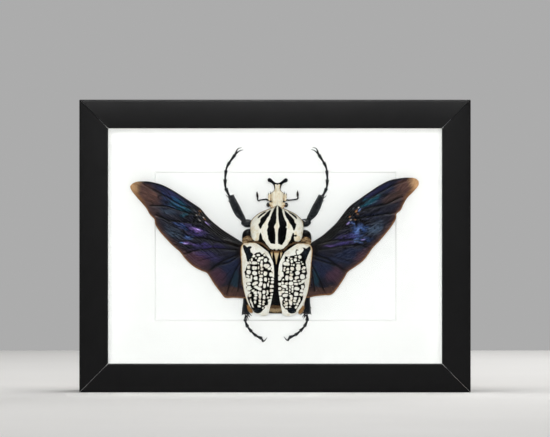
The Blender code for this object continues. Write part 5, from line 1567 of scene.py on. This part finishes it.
# Hair on both sides: colour, path, direction, length, number, spread, width and depth
SIDE_HAIR = (
    (
        "brown", ((15.8, 15.8, 2.7), (17.8, 15.4, 3.2), (20.4, 14.2, 2.6)), (0.8, 0.3, 0.3), 0.7, 260, 0.3,
        0.04, 0.45,
    ),
    (
        "tan", ((15.9, 16.2, 3.6), (17.6, 15.9, 4.3), (19.8, 14.7, 4.0)), (0.8, 0.25, 0.35), 0.7, 260, 0.3,
        0.04, 0.45,
    ),
    (
        "tan", ((18.6, 15.0, 2.6), (19.8, 14.6, 2.3), (20.9, 13.8, 1.7)), (0.8, 0.3, 0.2), 0.8, 260, 0.35,
        0.04, 0.3,
    ),
    (
        "brown", ((21.4, 12.2, -7.0), (21.6, 11.6, -16.0), (21.0, 11.2, -25.0)), (0.8, 0.1, -0.8), 1.0,
        620, 0.35, 0.035, 0.25,
    ),
    (
        "brown", ((4.4, 18.0, -2.6), (7.6, 17.6, 0.4), (11.0, 17.0, 2.0), (15.0, 16.0, 2.2)),
        (0.7, 0.4, 0.4), 0.6, 1500, 0.3, 0.035, 0.30,
    ),
    (
        "amber", ((14.9, 8.4, -41.6), (16.2, 8.0, -40.0), (17.3, 7.8, -37.4)), (0.2, 0.3, -0.9), 1.0, 620,
        0.28, 0.05, 0.40,
    ),
)
# Hair across the middle, with the same values
MIDDLE_HAIR = (
    (
        "brown", ((-4.2, 11.8, -37.8), (0.0, 12.6, -38.0), (4.0, 11.8, -37.8)), (0, 0.25, -1), 1.6, 620,
        0.2, 0.045, 0.4,
    ),
    (
        "tan", ((-4.4, 11.4, -39.2), (-0.4, 12.0, -39.7), (3.8, 11.4, -39.2)), (0, 0.25, -1), 2.0, 900,
        0.2, 0.045, 0.45,
    ),
    (
        "brown", ((-3.4, 18.0, -2.9), (0.0, 18.4, -3.2), (3.4, 18.0, -2.9)), (0, 0.6, -1), 1.2, 300, 0.35,
        0.05, 0.25,
    ),
)

# Brown pads: x, h, z and radius
SHOULDER_PAD = (
    (15.4, 14.9, 2.8, 1.0), (16.8, 14.9, 4.0, 1.7), (18.6, 14.4, 4.2, 1.9), (20.2, 13.4, 3.0, 1.7),
    (21.0, 12.8, 1.6, 1.0),
)
HIP_PAD = ((14.6, 7.4, -42.0, 0.5), (16.0, 7.2, -40.4, 1.3), (17.3, 7.0, -37.4, 0.9))


def brown_pads(side):
    """Brown pads as two flat tubes: the shoulder's is dark where noise is high, and the hip's is plain."""
    skins, stains = [], []
    for rows, streaked in ((SHOULDER_PAD, True), (HIP_PAD, False)):
        path, radii = rounded(rows, 70, blunt=0.2)
        skins.append(tube(path * (SIDES[side], 1, 1), radii, sides=40, flat=0.45))
        x, _, z = skins[-1]["points"].T
        streaks = rough_noise((np.abs(x) - z) / 0.35, (np.abs(x) + z) / 2.2, 71)
        stains.append(np.clip(0.35 + 0.75 * streaks, 0, 1) if streaked else np.full(len(x), 0.1))
    stain = np.concatenate(stains)
    fields = {"white": np.ones(len(stain)), "stain": stain, "painted_sheen": np.zeros(len(stain))}
    skins = [shape_in_world(skin) for skin in skins]
    piece(f"brown_pads_{side}", skins, PAD_SHELL, (), fields)


def hairs():
    """Brown and tan hairs at the shoulders and the abdomen's end, brown ones round the wing cases and before
    the scutellum, and amber ones by the hips."""
    tufts = {"tan": [], "brown": [], "amber": []}
    for number, (tone, path, direction, length, count, spread, width, depth) in enumerate(SIDE_HAIR):
        for sign in SIDES.values():
            flip = np.array((sign, 1, 1))
            seed = 100 + 10 * number + sign
            points, aim = np.array(path) * flip, direction * flip
            tufts[tone].append(fringe(points, aim, length, count, spread, width, seed, depth))
    for number, (tone, path, direction, length, count, spread, width, depth) in enumerate(MIDDLE_HAIR):
        tufts[tone].append(fringe(path, direction, length, count, spread, width, 300 + 10 * number, depth))
    for tone, material in (("tan", TAN_HAIR), ("brown", BROWN_HAIR), ("amber", AMBER_HAIR)):
        piece(f"{tone}_hairs", [shape_in_world(skin) for skin in tufts[tone]], material)


# The set


def camera_and_lights():
    """A level camera straight in front, two lamps that leave no shine, one that only shines, three soft ones
    and dim light from all round. Rays from the camera that meet nothing see grey."""
    scene = bpy.context.scene
    camera = bpy.data.cameras.new("camera")
    camera.lens = camera.sensor_width * EYE_DISTANCE / VIEW_WIDTH
    camera.clip_end = 20.0
    holder = bpy.data.objects.new("camera", camera)
    scene.collection.objects.link(holder)
    holder.location = (0.0, FRAME_FRONT - EYE_DISTANCE, EYE_HEIGHT)
    holder.rotation_euler = (math.pi / 2, 0, 0)
    scene.camera = holder
    middle = Vector((0, 0, 0.09))
    for name, place, size, power, lights, shines in (
        ("front_fill", (0.0, -2.9, 0.19), 0.5, 67.0, True, False),
        ("overhead", (0.0, -0.15, 1.6), 1.0, 17.0, True, False),
        ("top_sheen", (0.0, -0.34, 0.48), 0.20, 4.6, False, True),
        ("soft_left", (-1.2, -1.2, 0.45), 0.5, 1.6, True, True),
        ("soft_right", (1.1, -1.2, 0.50), 0.5, 1.2, True, True),
        ("soft_back", (0.35, 0.75, 0.75), 0.6, 4.0, True, True),
    ):
        light = bpy.data.lights.new(name, "AREA")
        light.energy = power
        light.size = size
        lamp = bpy.data.objects.new(name, light)
        scene.collection.objects.link(lamp)
        lamp.location = place
        lamp.rotation_euler = (middle - Vector(place)).to_track_quat("-Z", "Y").to_euler()
        lamp.visible_diffuse = lights
        lamp.visible_glossy = shines
    air = bpy.data.worlds.new("studio")
    air.use_nodes = True
    nodes, links = air.node_tree.nodes, air.node_tree.links
    dim = nodes["Background"]
    dim.inputs["Color"].default_value = (1.0, 1.0, 1.0, 1.0)
    dim.inputs["Strength"].default_value = 0.05
    grey = nodes.new("ShaderNodeBackground")
    grey.inputs["Color"].default_value = (0.413, 0.413, 0.413, 1.0)
    either = nodes.new("ShaderNodeMixShader")
    links.new(nodes.new("ShaderNodeLightPath").outputs["Is Camera Ray"], either.inputs[0])
    links.new(dim.outputs[0], either.inputs[1])
    links.new(grey.outputs[0], either.inputs[2])
    links.new(either.outputs[0], nodes["World Output"].inputs["Surface"])
    scene.world = air
    scene.view_settings.view_transform = "Standard"


def floor():
    """A pale table top that ends a little less than a metre behind the frame, as a flat sheet."""
    corners = ((-3.0, -2.4, 0), (3.0, -2.4, 0), (3.0, 0.93, 0), (-3.0, 0.93, 0))
    mesh = bpy.data.meshes.new("floor")
    mesh.from_pydata(corners, [], [(0, 1, 2, 3)])
    made = bpy.data.objects.new("floor", mesh)
    bpy.context.scene.collection.objects.link(made)
    paint = Finish("floor_paint", Roughness=0.9, Specular_IOR_Level=0.1)
    tone = paint.steps(paint.grain(300.0), (0.3, (0.82, 0.81, 0.79)), (0.7, (0.86, 0.85, 0.83)))
    mesh.materials.append(paint.finish(Base_Color=tone))
    made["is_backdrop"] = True


for rail_side in ("top", "right", "bottom", "left"):
    rail(rail_side)
    dress(f"spacer_{rail_side}", SPACER_PAPER)
dress("glass_pane", GLASS)
window_mat()
dress("backing_board", BOARD_PAPER)
dress("back_panel", HARDBOARD)
for node_name in frame["nodes"]:
    if node_name.startswith(("retaining_tab", "hanger_nail", "sawtooth")):
        dress(node_name, ZINC)

trunk()
head()
pronotum()
scutellum()
for beetle_side in SIDES:
    eye(beetle_side)
    antenna(beetle_side)
    elytron(beetle_side)
    brown_pads(beetle_side)
    hindwing(beetle_side)
    for leg_kind in LEGS:
        leg(leg_kind, beetle_side)
hairs()
floor()
camera_and_lights()

size_pair = {"cad": cad_box, "visual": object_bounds()}
{name: [list(map(float, corner)) for corner in box] for name, box in size_pair.items()}
